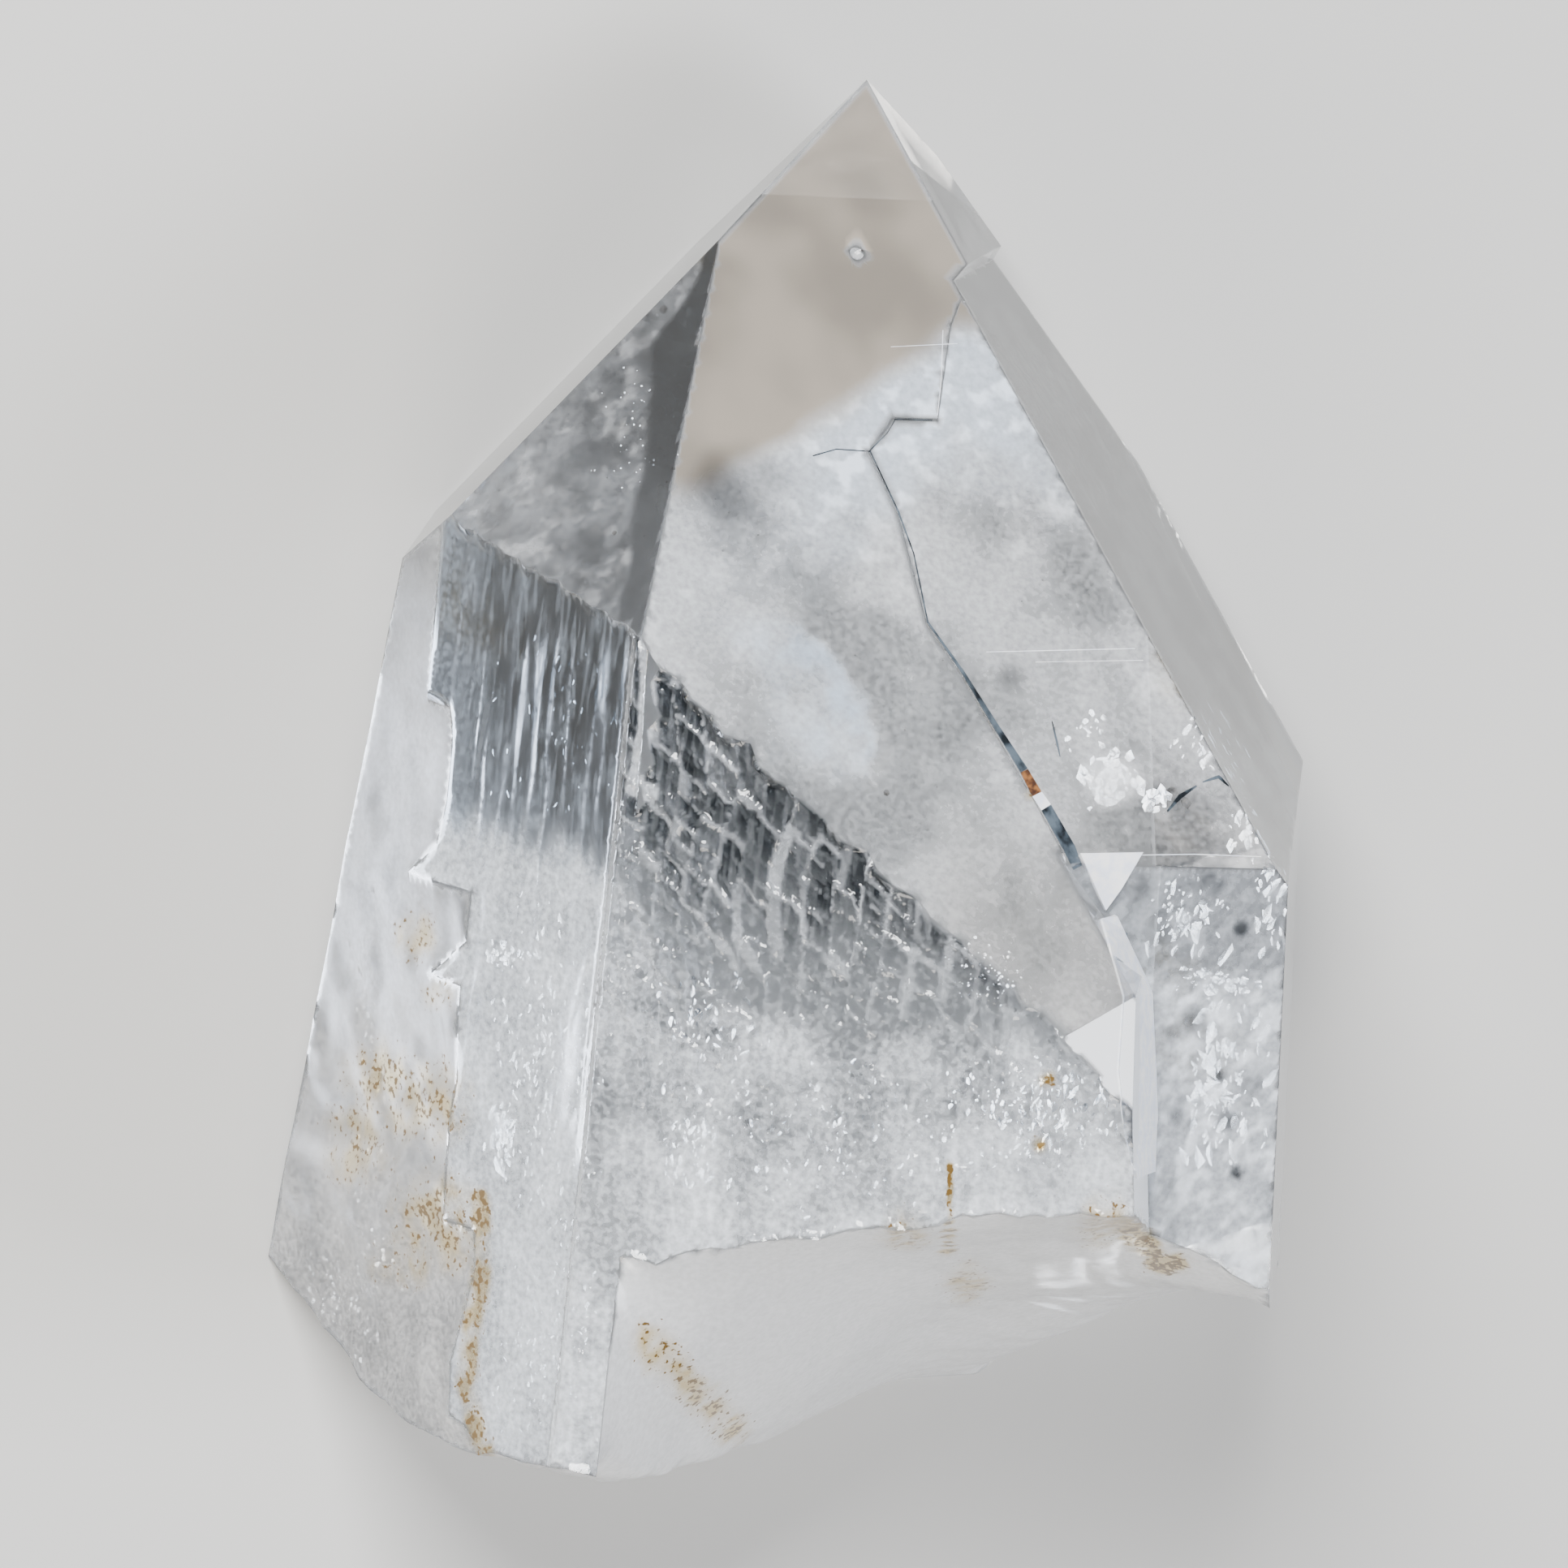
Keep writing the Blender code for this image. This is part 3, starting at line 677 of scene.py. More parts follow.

# The plate and the face right of it are glassy, with slanting pale streaks. They are painted a little dark,
# more so above, with dark flecks where the quartz is clear: painted darkness, as on the other faces.
PLATE_LOW_OVER = (45.0, 46.5)
SLANT = 1.2
SLANT_WIDTH = 0.9
SLANT_LENGTH = 2.1
SLANT_DEPTH = 2
SLANTS_OVER = (-0.05, 0.40)
PLATE_DARK_ABOVE = 0.07
PLATE_DARK_CLOUDS = 0.16
PLATE_FLECKS = [
    (18.9, 43.5, 0.55, 0.32),
    (16.6, 48.2, 0.9, 0.22),
    (17.8, 51.0, 0.5, 0.30),
    (18.2, 53.2, 0.8, 0.25),
    (18.7, 55.9, 0.55, 0.40),
]
plate_low = smooth_step(*PLATE_LOW_OVER, seen_down + 0.3 * ragged)
across_slant = (seen_across + SLANT * seen_down) / SLANT_WIDTH
along_slant = (SLANT * seen_across - seen_down) / SLANT_LENGTH
slant = lumps(across_slant, along_slant, seen_deep / SLANT_DEPTH) + 0.4 * seen_lumps(0.6, 0.6, 17.0)
slant = smooth_step(*SLANTS_OVER, slant)
plate_dark = PLATE_DARK_ABOVE * (1 - plate_low) + PLATE_DARK_CLOUDS * clouds(1.8, 4.0, 0.2, 0.9)
fleck = spots(PLATE_FLECKS, core=0.3, rim=1.1, unevenness=0.4)
dark += np.where(on_plate, plate_dark + fleck, 0.0)
DEEPENED = 4.0
dark = 1 - (1 - np.clip(dark, 0, 1)) ** DEEPENED

# Milky quartz. Under the tip the main face is painted half milky and beige: a painted sheen, which stands in
# for the beige light that the face mirrors there. A bank of cloud begins at a slanting line there, and lower
# down soft clouds and one curl lie in clearer quartz.
CLOUD_BEGINS = ([-9.0, -2.8, 4.7, 12.0], [21.2, 17.8, 12.6, 13.5])
TIP_CLOUDS_OVER = (-0.8, 1.2)
BANK_BEGINS_OVER = (-0.4, 1.4)
BANK_ENDS_OVER = (4.0, 10.5)
BANK_LEFT_OVER = (-6.5, 0.0)
BANK_AT_LEFT = 0.15
TIP_SHEEN_MILK = 0.42
MILK_IN_BANK = 0.66
MILK_BELOW_BANK = (0.10, 0.44)
CURL_MIDDLE = (-1.4, 31.5)
CURL_LEAN = 0.55
CURL_BEND = 0.10
CURL_RIGHT_OVER = (0.6, 1.3)
CURL_LEFT_OVER = (-5.5, 0.2)
CURL_TOP_OVER = (27.0, 29.5)
CURL_FOOT_OVER = (34.0, 37.0)
CURL_LEAST = 0.35
MILK_IN_CURL = 0.42
below_clouds = seen_down - np.interp(seen_across, *CLOUD_BEGINS) + 0.5 * ragged
tip_sheen = (1 - smooth_step(*TIP_CLOUDS_OVER, below_clouds)) * np.where(on_main, 1.0, 0.0)
bank = smooth_step(*BANK_BEGINS_OVER, below_clouds)
bank *= 1 - smooth_step(*BANK_ENDS_OVER, below_clouds + 1.5 * ragged)
bank *= between(BANK_AT_LEFT, 1.0, smooth_step(*BANK_LEFT_OVER, seen_across - 0.12 * (seen_down - 22)))
main_milk = TIP_SHEEN_MILK * tip_sheen + MILK_IN_BANK * bank
main_milk += (1 - bank) * between(*MILK_BELOW_BANK, clouds(7.0, 19.0, -0.6, 0.7))
from_middle = seen_down - CURL_MIDDLE[1]
from_curl = seen_across - CURL_MIDDLE[0] - CURL_LEAN * from_middle + CURL_BEND * from_middle**2
from_curl += 0.7 * seen_lumps(0.9, 0.9, 5.0)
curl = (1 - smooth_step(*CURL_RIGHT_OVER, from_curl)) * smooth_step(*CURL_LEFT_OVER, from_curl + 0.8 * ragged)
curl *= smooth_step(*CURL_TOP_OVER, seen_down) * (1 - smooth_step(*CURL_FOOT_OVER, seen_down))
curl *= between(CURL_LEAST, 1.0, clouds(1.8, 61.0, -0.5, 0.5))
main_milk += MILK_IN_CURL * curl
milky = np.where(on_main, main_milk, 0.0)

# The front and the ribbed face are milky low down, where fibres run along them.
RIBBED_MILK = 0.04
RIBBED_MILK_LOW = 0.46
RIBBED_MILK_STREAKS = 0.10
RIDGE_MILK = 0.40
FRONT_MILK_LOW = 0.22
FRONT_MILK_FOOT = 0.25
FRONT_FOOT_OVER = (48.0, 60.0)
FIBRE_WIDTH = 0.4
FIBRE_LENGTH = 2.2
FIBRES_OVER = (0.05, 0.7)
FIBRE_MILK = 0.20
LOW_CLOUD_MIDDLE = 0.45
FRONT_CLOUDS = 0.34
RIBBED_CLOUDS = 0.22
ribbed_milk = RIBBED_MILK + RIBBED_MILK_LOW * low + RIBBED_MILK_STREAKS * streak
front_milk = RIDGE_MILK * ridge * in_dark
front_milk += low * (FRONT_MILK_LOW + FRONT_MILK_FOOT * smooth_step(*FRONT_FOOT_OVER, seen_down))
bent_across = front_across / FIBRE_WIDTH + 0.8 * lumps(front_across, points[:, 1] / 3, 1.0)
fibre = lumps(bent_across, points[:, 1] / FIBRE_LENGTH, 13.0)
fibre += 0.4 * lumps(front_across / 3, points[:, 1] / 4, 3.0)
front_milk += low * FIBRE_MILK * smooth_step(*FIBRES_OVER, fibre)
low_cloud = low * (clouds(3.6, 23.0, -0.5, 0.6) - LOW_CLOUD_MIDDLE)
milky += np.where(on_front, front_milk + FRONT_CLOUDS * low_cloud, 0.0)
milky += np.where(on_ribbed, ribbed_milk + RIBBED_CLOUDS * low_cloud, 0.0)

# The other faces: the rough side and the break are white, the tip step is bright by the plate, the plate is
# streaked, and a small scar by the tip is pale.
ROUGH_MILK = 0.46
ROUGH_MILK_SPREAD = 0.30
FOOT_MILK = 0.80
BRIGHT_SIDE = (12.6, 36.0)
BRIGHT_FLATTENED = 1.3
BRIGHT_ENDS_OVER = (0.5, 2.2)
BRIGHT_MILK = 0.45
SCAR = (-0.5, 8.8)
SCAR_ENDS_OVER = (0.45, 0.75)
SCAR_MILK = 0.5
PLATE_MILK = 0.26
PLATE_MILK_LOW = 0.16
SLANT_MILK = 0.36
FLECKS_CLEARED = 0.7
LEFT_TIP_MILK = (0.06, 0.18)
LEFT_TIP_MILK_OVER = (3.0, 9.0)
RIGHT_TIP_MILK = (0.18, 0.10)
from_bright = np.hypot(seen_across - BRIGHT_SIDE[0], BRIGHT_FLATTENED * (seen_down - BRIGHT_SIDE[1]))
bright_side = 1 - smooth_step(*BRIGHT_ENDS_OVER, from_bright + 0.5 * ragged)
from_scar = np.hypot(seen_across - SCAR[0], seen_down - SCAR[1]) + 0.2 * ragged
scar = 1 - smooth_step(*SCAR_ENDS_OVER, from_scar)
plate_milk = PLATE_MILK + PLATE_MILK_LOW * plate_low - FLECKS_CLEARED * fleck
plate_milk += SLANT_MILK * slant * between(0.5, 1.0, plate_low)
left_tip_milk = between(*LEFT_TIP_MILK, smooth_step(*LEFT_TIP_MILK_OVER, from_main_edge))
milky += np.where(on_rough, ROUGH_MILK + ROUGH_MILK_SPREAD * seen_lumps(3, 3, 2.0), 0.0)
milky += np.where(on_foot, FOOT_MILK, 0.0)
milky += np.where(in_zone("tip_step", "main"), BRIGHT_MILK * bright_side, 0.0)
milky += np.where(in_zone("corner", "plate_riser"), 1.0, 0.0)
milky += np.where(on_main | in_zone("ledge"), SCAR_MILK * scar, 0.0)
milky += np.where(on_plate, plate_milk, 0.0) + np.where(on_left_tip, left_tip_milk, 0.0)
milky += np.where(on_right_tip, between(*RIGHT_TIP_MILK, edge_streaks), 0.0)
FROSTED = {"rough": 0.9, "foot": 0.35, "corner": 0.8, "plate_riser": 0.8, "ribbed": 0.3}
frosted = sum(np.where(in_zone(name), share, 0.0) for name, share in FROSTED.items())

# Where round puffs of tiny bubbles, and a fine uneven mist, lie in the clouds.
LOOSE_PUFFS = 0.35
LEFT_TIP_PUFFS = 0.5
PLATE_PUFFS = 0.25
TIP_STEP_PUFFS = (0.3, 0.8)
COLUMN_MIST = (0.45, 0.70)
ROUGH_MIST = 0.8
FOOT_MIST = 0.3
CLOUD_MIST = 0.32
LEFT_TIP_MIST = 0.2
loose_puffs = LOOSE_PUFFS * (1 - tip_sheen) * clouds(3.0, 8.0, -0.2, 0.8)
puffy = np.where(on_main, bank + loose_puffs, 0.0)
puffy += np.where(on_left_tip, LEFT_TIP_PUFFS, 0.0) + np.where(on_plate, PLATE_PUFFS, 0.0)
puffy += np.where(in_zone("tip_step"), between(*TIP_STEP_PUFFS, bright_side), 0.0)
misty = np.where(on_front | on_ribbed, between(*COLUMN_MIST, low), 0.0)
misty += np.where(on_rough, ROUGH_MIST, 0.0) + np.where(on_foot, FOOT_MIST, 0.0)
misty += np.where(on_main | on_plate, CLOUD_MIST * (1 - tip_sheen), 0.0)
misty += np.where(on_left_tip, LEFT_TIP_MIST, 0.0)

# Where the quartz looks faintly blue, and where it is faintly brown. Under the tip the brown is a painted
# sheen.
RIBBED_BLUE = (0.35, 1.0)
FRONT_BLUE = 0.25
BANK_BLUE = 0.6
CURL_BLUE = 0.9
PLATE_BLUE = 0.3
BROWN_DOWN_OVER = (34.0, 44.0)
BROWN_RIGHT_OVER = (1.0, 5.0)
BROWN_SIDE = 0.4
FOOT_BROWN = 0.14
ROUGH_BROWN = (0.10, 0.32)
ROUGH_BROWN_OVER = (46.0, 52.0)
# On the ribbed face this blue deepens with the painted darkness there and is part of it.
bluish = np.where(on_ribbed, between(*RIBBED_BLUE, ribbed_in_dark), 0.0) + np.where(on_front, FRONT_BLUE, 0.0)
bluish += np.where(on_main, BANK_BLUE * bank + CURL_BLUE * curl, 0.0)
bluish += np.where(on_plate | in_zone("tip_step"), PLATE_BLUE, 0.0)
brown_side = smooth_step(*BROWN_DOWN_OVER, seen_down) * smooth_step(*BROWN_RIGHT_OVER, seen_across)
smoky = np.where(on_main, tip_sheen + BROWN_SIDE * brown_side, 0.0) + np.where(on_foot, FOOT_BROWN, 0.0)
smoky += np.where(on_rough, between(*ROUGH_BROWN, smooth_step(*ROUGH_BROWN_OVER, seen_down)), 0.0)

# Iron stains as the photograph shows them: spots (across, down, radius, strength), and lines with a width and
# a strength. Only the side that the photograph shows is stained.
IRON_SPOTS = [
    (-23.0, 44.0, 1.3, 0.6),
    (-21.8, 46.8, 1.0, 0.5),
    (-24.9, 51.3, 2.2, 0.7),
    (-26.2, 54.7, 2.2, 0.6),
    (-22.6, 52.4, 2.6, 0.7),
    (-22.0, 58.4, 2.6, 0.8),
    (-23.7, 60.5, 1.8, 0.7),
    (1.9, 58.7, 1.3, 0.7),
    (5.1, 61.7, 1.2, 0.8),
    (9.0, 50.9, 0.5, 0.7),
    (8.6, 54.3, 0.5, 0.7),
    (12.0, 58.4, 1.6, 0.6),
    (8.3, 36.5, 0.35, 1.6),
]
IRON_LINES = [
    ([(-19.7, 57.2), (-19.6, 61.0), (-20.2, 64.7), (-20.5, 66.8), (-19.5, 70.5)], 0.55, 1.0),
    ([(-11.2, 64.3), (-6.8, 69.3)], 0.9, 0.75),
    ([(12.6, 58.4), (13.8, 59.3), (14.9, 60.5), (15.7, 60.6)], 0.6, 1.5),
    ([(4.1, 55.3), (4.1, 59.9)], 0.15, 1.6),
]
IRON_LINE_ENDS_OVER = (0.4, 1.3)
IRON_BROKEN = (0.35, 1.25)
IRON_BREAKS_OVER = (-0.35, 0.35)
FRONT_LINED = 0.35
iron = spots(IRON_SPOTS, core=0.3, rim=1.2, unevenness=0.35)
for route, width, strength in IRON_LINES:
    away = from_route(route) / width + 0.3 * ragged
    iron = np.maximum(iron, strength * (1 - smooth_step(*IRON_LINE_ENDS_OVER, away)))
iron *= between(*IRON_BROKEN, smooth_step(*IRON_BREAKS_OVER, seen_lumps(0.7, 1.1, 31.0)))
iron = np.where(facing > 0, iron, 0.0)
lined = np.where(on_ribbed, 1.0, 0.0) + np.where(on_front, FRONT_LINED, 0.0)
masks = {"dark": dark, "milky": milky, "frosted": frosted, "iron": iron / 2, "lined": lined}
masks.update({"puffy": puffy, "misty": misty, "bluish": bluish, "smoky": smoky})
for name, values in masks.items():
    attribute = crystal.data.attributes.new(name, "FLOAT", "POINT")
    attribute.data.foreach_set("value", np.clip(values, 0.0, 1.0))

# Clear rock crystal: polished by growth, so its faces mirror like glass and bend what lies behind them. Where
# it is milky it is white and scatters the light, and where its dark mask is high its colour is painted near
# black, as painted darkness. Its grains of rust and its fine lines are drawn from about 0.3 mm up, coarser
# than they are, the finest that a picture of the whole crystal shows.
QUARTZ_IOR = 1.544
CLEAR_COLOUR = "#f5f7fa"
PAINTED_DARK_COLOUR = "#14181c"
OCHRE_COLOUR = "#d2bd8c"
RUST_COLOUR = "#6e5429"
TINTS = {"bluish": "#d3e3f4", "smoky": "#a89d8e"}
FIBRES_PER_MM = (3.4, 0.5, 3.4)
PUFFS_PER_MM = (0.75, 0.75, 0.75)
GRAINS_PER_MM = (3.0, 3.0, 3.0)
LINES_LIGHTEN = 0.3
LINES_CLOUD = 0.1
PUFFS_CLOUD = 0.5
MIDDLE_OF_NOISE = 0.5
RUST_FROM_IRON = 4.0
RUST_FROM_GRAIN = 8.0
RUST_NEEDS = 5.7
LEAST_IRON = 0.01
OCHRE_FROM_IRON = 2.3
SOLID_RUST = 0.9
MOST_CLOUDED = 0.9
POLISHED_ROUGHNESS = 0.02
FROSTED_ROUGHNESS = 0.45

# What a Math node works out, and how a Mix node joins the colours at its inputs 6 and 7 into output 2.
TIMES = {"operation": "MULTIPLY"}
TIMES_PLUS = {"operation": "MULTIPLY_ADD"}
PLUS = {"operation": "ADD"}
LESS = {"operation": "SUBTRACT"}
MORE_THAN = {"operation": "GREATER_THAN"}
LARGER = {"operation": "MAXIMUM"}
WITHIN_0_TO_1 = {"use_clamp": True}
MIX_COLOURS = {"data_type": "RGBA"}
MULTIPLY_COLOURS = {"data_type": "RGBA", "blend_type": "MULTIPLY"}
crystal.data.materials.clear()
quartz = new_material("clear rock crystal")
nodes = quartz.node_tree


def noise_in_mm(tree, per_mm, detail=2.0, low=0.0, high=1.0):
    """Noise with this many lumps to the millimetre along X, Y and Z, stretched to run from low to high."""
    place = add_node(tree, "ShaderNodeTexCoord").outputs["Object"]
    scale = tuple(count / MM for count in per_mm)
    scaled = add_node(tree, "ShaderNodeMapping", Vector=place, Scale=scale).outputs[0]
    found = add_node(tree, "ShaderNodeTexNoise", Vector=scaled, Scale=1.0, Detail=detail).outputs["Fac"]
    smooth = {"data_type": "FLOAT", "interpolation_type": "SMOOTHSTEP"}
    stretched = add_node(tree, "ShaderNodeMapRange", smooth, Value=found, From_Min=low, From_Max=high)
    return stretched.outputs["Result"]


paint = {}
for name in masks:
    paint[name] = add_node(nodes, "ShaderNodeAttribute", {"attribute_name": name}).outputs["Fac"]
fibres = noise_in_mm(nodes, FIBRES_PER_MM, detail=0.0, low=0.50, high=0.72)
puffs = noise_in_mm(nodes, PUFFS_PER_MM, detail=1.5, low=0.50, high=0.70)
grain = noise_in_mm(nodes, GRAINS_PER_MM, detail=2.0)

# Fine pale lines run through the painted dark parts of the front and the ribbed face.
lined = add_node(nodes, "ShaderNodeMath", TIMES, _0=paint["dark"], _1=paint["lined"]).outputs[0]
lines = add_node(nodes, "ShaderNodeMath", TIMES, _0=fibres, _1=lined).outputs[0]
lighter = add_node(nodes, "ShaderNodeMath", TIMES, _0=lines, _1=LINES_LIGHTEN).outputs[0]
painted_dark_share = add_node(nodes, "ShaderNodeMath", LESS, _0=paint["dark"], _1=lighter).outputs[0]

# Iron stains are an even ochre where they are thin, and grains of solid rust where there is most iron.
iron_share = paint["iron"]
grain_values = {"_0": grain, "_1": RUST_FROM_GRAIN, "_2": -RUST_NEEDS}
grains = add_node(nodes, "ShaderNodeMath", TIMES_PLUS, **grain_values).outputs[0]
rust_values = {"_0": iron_share, "_1": RUST_FROM_IRON, "_2": grains}
rust = add_node(nodes, "ShaderNodeMath", TIMES_PLUS | WITHIN_0_TO_1, **rust_values).outputs[0]
has_iron = add_node(nodes, "ShaderNodeMath", MORE_THAN, _0=iron_share, _1=LEAST_IRON).outputs[0]
rust = add_node(nodes, "ShaderNodeMath", TIMES, _0=rust, _1=has_iron).outputs[0]
ochre_values = {"_0": iron_share, "_1": OCHRE_FROM_IRON}
ochre = add_node(nodes, "ShaderNodeMath", TIMES | WITHIN_0_TO_1, **ochre_values).outputs[0]
# The dark mask mixes in a near black colour: painted darkness, which stands in for the dark surroundings seen
# through the clear quartz.
clear_colour = linear(CLEAR_COLOUR)
painted_dark_colour = linear(PAINTED_DARK_COLOUR)
mixed = add_node(nodes, "ShaderNodeMix", MIX_COLOURS, Factor=painted_dark_share, _6=clear_colour, _7=painted_dark_colour)
for name, tint in TINTS.items():
    settings = {"Factor": paint[name], "_6": mixed.outputs[2], "_7": linear(tint)}
    mixed = add_node(nodes, "ShaderNodeMix", MULTIPLY_COLOURS, **settings)
for share, stain in ((ochre, OCHRE_COLOUR), (rust, RUST_COLOUR)):
    mixed = add_node(nodes, "ShaderNodeMix", MIX_COLOURS, Factor=share, _6=mixed.outputs[2], _7=linear(stain))
colour = mixed.outputs[2]

# Milk, pale lines, puffs of bubbles, mist and rust all cloud the quartz.
cloudy = add_node(nodes, "ShaderNodeMath", TIMES_PLUS, _0=lines, _1=LINES_CLOUD, _2=paint["milky"]).outputs[0]
puffs = add_node(nodes, "ShaderNodeMath", TIMES, _0=puffs, _1=paint["puffy"]).outputs[0]
cloudy = add_node(nodes, "ShaderNodeMath", TIMES_PLUS, _0=puffs, _1=PUFFS_CLOUD, _2=cloudy).outputs[0]
uneven = add_node(nodes, "ShaderNodeMath", LESS, _0=grain, _1=MIDDLE_OF_NOISE).outputs[0]
mist = add_node(nodes, "ShaderNodeMath", TIMES, _0=uneven, _1=paint["misty"]).outputs[0]
cloudy = add_node(nodes, "ShaderNodeMath", PLUS, _0=cloudy, _1=mist).outputs[0]
solid_rust = add_node(nodes, "ShaderNodeMath", TIMES, _0=rust, _1=SOLID_RUST).outputs[0]
cloudy = add_node(nodes, "ShaderNodeMath", LARGER, _0=cloudy, _1=solid_rust).outputs[0]
clouded = add_node(nodes, "ShaderNodeMath", TIMES, _0=cloudy, _1=MOST_CLOUDED).outputs[0]
clear = add_node(nodes, "ShaderNodeMath", LESS | WITHIN_0_TO_1, _0=1.0, _1=clouded).outputs[0]
rough_values = {"_0": paint["frosted"], "_1": FROSTED_ROUGHNESS, "_2": POLISHED_ROUGHNESS}
rough = add_node(nodes, "ShaderNodeMath", TIMES_PLUS, **rough_values).outputs[0]
finish = {"Base_Color": colour, "Roughness": rough, "IOR": QUARTZ_IOR, "Transmission_Weight": clear}
shader = add_node(nodes, "ShaderNodeBsdfPrincipled", **finish)
add_node(nodes, "ShaderNodeOutputMaterial", Surface=shader.outputs["BSDF"])
crystal.data.materials.append(quartz)
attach(crystal, "root")
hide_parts("quartz_point")

# Veils: sheets of tiny fluid filled cracks that healed inside the quartz while it grew. Each is a thin curved
# sheet, placed by where the photograph shows it through the skin, and by its depth below that skin. They look
# like white smoke, because the cracks scatter the light. Lengths are in millimetres.
VEIL_CELL = 0.35
VEIL_INSIDE = 0.5
VEIL_TEAR = 3.0
THINNEST_VEIL = 0.01
SIGHT_FROM = 100.0


def on_skin(across, down):
    """The place of the skin that the photograph shows here, and the skin's normal there."""
    start = picture_right * across - picture_up * down + TOWARDS_CAMERA * SIGHT_FROM
    spot, normal, _, _ = skin.ray_cast(start, -TOWARDS_CAMERA)
    return spot, normal


def inside(direction, normal):
    """The way light runs inside the quartz if it leaves the skin in this direction."""
    lean = normal.dot(direction)
    bend = math.sqrt(1 - (1 - lean * lean) / QUARTZ_IOR**2) - lean / QUARTZ_IOR
    return (direction / QUARTZ_IOR + bend * normal).normalized()


def under(across, down, depth):
    """The place that the photograph shows here, this deep under the skin along the bent ray of sight."""
    spot, normal = on_skin(across, down)
    return None if spot is None else spot - inside(TOWARDS_CAMERA, normal) * depth


def depth_inside(place):
    """How far below the skin a place is, or less than 0 outside it."""
    spot, normal, _, _ = skin.find_nearest(place)
    return normal.dot(spot - place)


def finish_piece(name, bm, material):
    """Turns a bmesh into a piece of the crystal."""
    item = bpy.data.objects.new(name, bpy.data.meshes.new(name))
    bm.to_mesh(item.data)
    bm.free()
    bpy.context.scene.collection.objects.link(item)
    item.data.materials.append(material)
    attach(item, "root")
    return item


def veil(name, across, down, depth, thickness, material):
    """A sheet over a patch of the photograph. depth() and thickness() are read at each place of it."""
    bm = bmesh.new()
    thick_layer = bm.verts.layers.float.new("thick")
    grid = {}
    for i, x in enumerate(np.arange(across[0], across[1], VEIL_CELL)):
        for j, y in enumerate(np.arange(down[0], down[1], VEIL_CELL)):
            thick = thickness(x, y)
            place = under(x, y, depth(x, y)) if thick > THINNEST_VEIL else None
            if place is not None and depth_inside(place) > VEIL_INSIDE:
                grid[i, j] = bm.verts.new(in_row(place))
                grid[i, j][thick_layer] = thick
    for i, j in grid:
        ring = [grid.get(spot) for spot in ((i, j), (i + 1, j), (i + 1, j + 1), (i, j + 1))]
        if all(ring) and (ring[0].co - ring[2].co).length < VEIL_TEAR * VEIL_CELL * MM:
            bm.faces.new(ring).smooth = True
    bmesh.ops.delete(bm, geom=[vert for vert in bm.verts if not vert.link_faces], context="VERTS")
    return finish_piece(name, bm, material)


def veil_material(name, colour, per_mm, most, low=0.28, high=0.80):
    """White where its cracks scatter the light. Its alpha is its thickness, broken up by noise."""
    material = new_material(name)
    tree = material.node_tree
    thick = add_node(tree, "ShaderNodeAttribute", {"attribute_name": "thick"}).outputs["Fac"]
    cloud = noise_in_mm(tree, per_mm, detail=3.0, low=low, high=high)
    broken_up = add_node(tree, "ShaderNodeMath", TIMES, _0=cloud, _1=thick).outputs[0]
    alpha = add_node(tree, "ShaderNodeMath", TIMES | WITHIN_0_TO_1, _0=broken_up, _1=most).outputs[0]
    colours = {"_6": linear(colour), "_7": linear("#ffffff")}
    shade = add_node(tree, "ShaderNodeMix", MIX_COLOURS, Factor=cloud, **colours).outputs[2]
    shader = add_node(tree, "ShaderNodeBsdfPrincipled", Base_Color=shade, Roughness=0.5, Alpha=alpha)
    add_node(tree, "ShaderNodeOutputMaterial", Surface=shader.outputs["BSDF"])
    return material


def step_between(low, high, value):
    share = min(1.0, max(0.0, (value - low) / (high - low)))
    return share * share * (3.0 - 2.0 * share)


def lump(x, y, z):
    return noise.noise((x, y, z))


# A healed crack looks like soft cloud with lumps of 2 mm, and a fibrous veil like white threads that run
# along the crystal.
soft_cloud = veil_material("healed crack veil", "#dfe9f5", (0.5, 0.5, 0.5), 0.85)
fibrous_veil = veil_material("fibrous growth veil", "#edf1f5", (2.2, 0.22, 2.2), 0.9, 0.35, 0.75)


# The upper veil hangs below the slanting line under the tip at which the clouds begin.
UPPER_LEFT_OVER = (-10.0, -7.0)
UPPER_BEGINS_OVER = (0.0, 1.0)
UPPER_ENDS_OVER = (5.0, 12.0)
UPPER_RAGGED_BY = 0.6


def upper_cloud(x, y):
    below = y - float(np.interp(x, *CLOUD_BEGINS)) - UPPER_RAGGED_BY * lump(x, y / 2, 1.0)
    left = step_between(*UPPER_LEFT_OVER, x)
    return left * step_between(*UPPER_BEGINS_OVER, below) * (1 - step_between(*UPPER_ENDS_OVER, below))


veil(
    "veil_upper",
    across=(-10, 13),
    down=(12, 32),
    depth=lambda x, y: 5.0 + 0.25 * (y - 15) + 1.2 * lump(x / 4, y / 4, 2.0),
    thickness=upper_cloud,
    material=soft_cloud,
)


# The curl is thickest along a curved line, and its right side is sharp.
CURL_VEIL_RIGHT_OVER = (0.9, 1.2)
CURL_VEIL_LEFT_OVER = (-2.6, 0.2)
CURL_VEIL_TOP_OVER = (28.5, 30.0)
CURL_VEIL_FOOT_OVER = (33.5, 35.5)


def bright_curl(x, y):
    below = y - CURL_MIDDLE[1]
    aside = x - (CURL_MIDDLE[0] + CURL_LEAN * below - CURL_BEND * below**2)
    sides = (1 - step_between(*CURL_VEIL_RIGHT_OVER, aside)) * step_between(*CURL_VEIL_LEFT_OVER, aside)
    return sides * step_between(*CURL_VEIL_TOP_OVER, y) * (1 - step_between(*CURL_VEIL_FOOT_OVER, y))


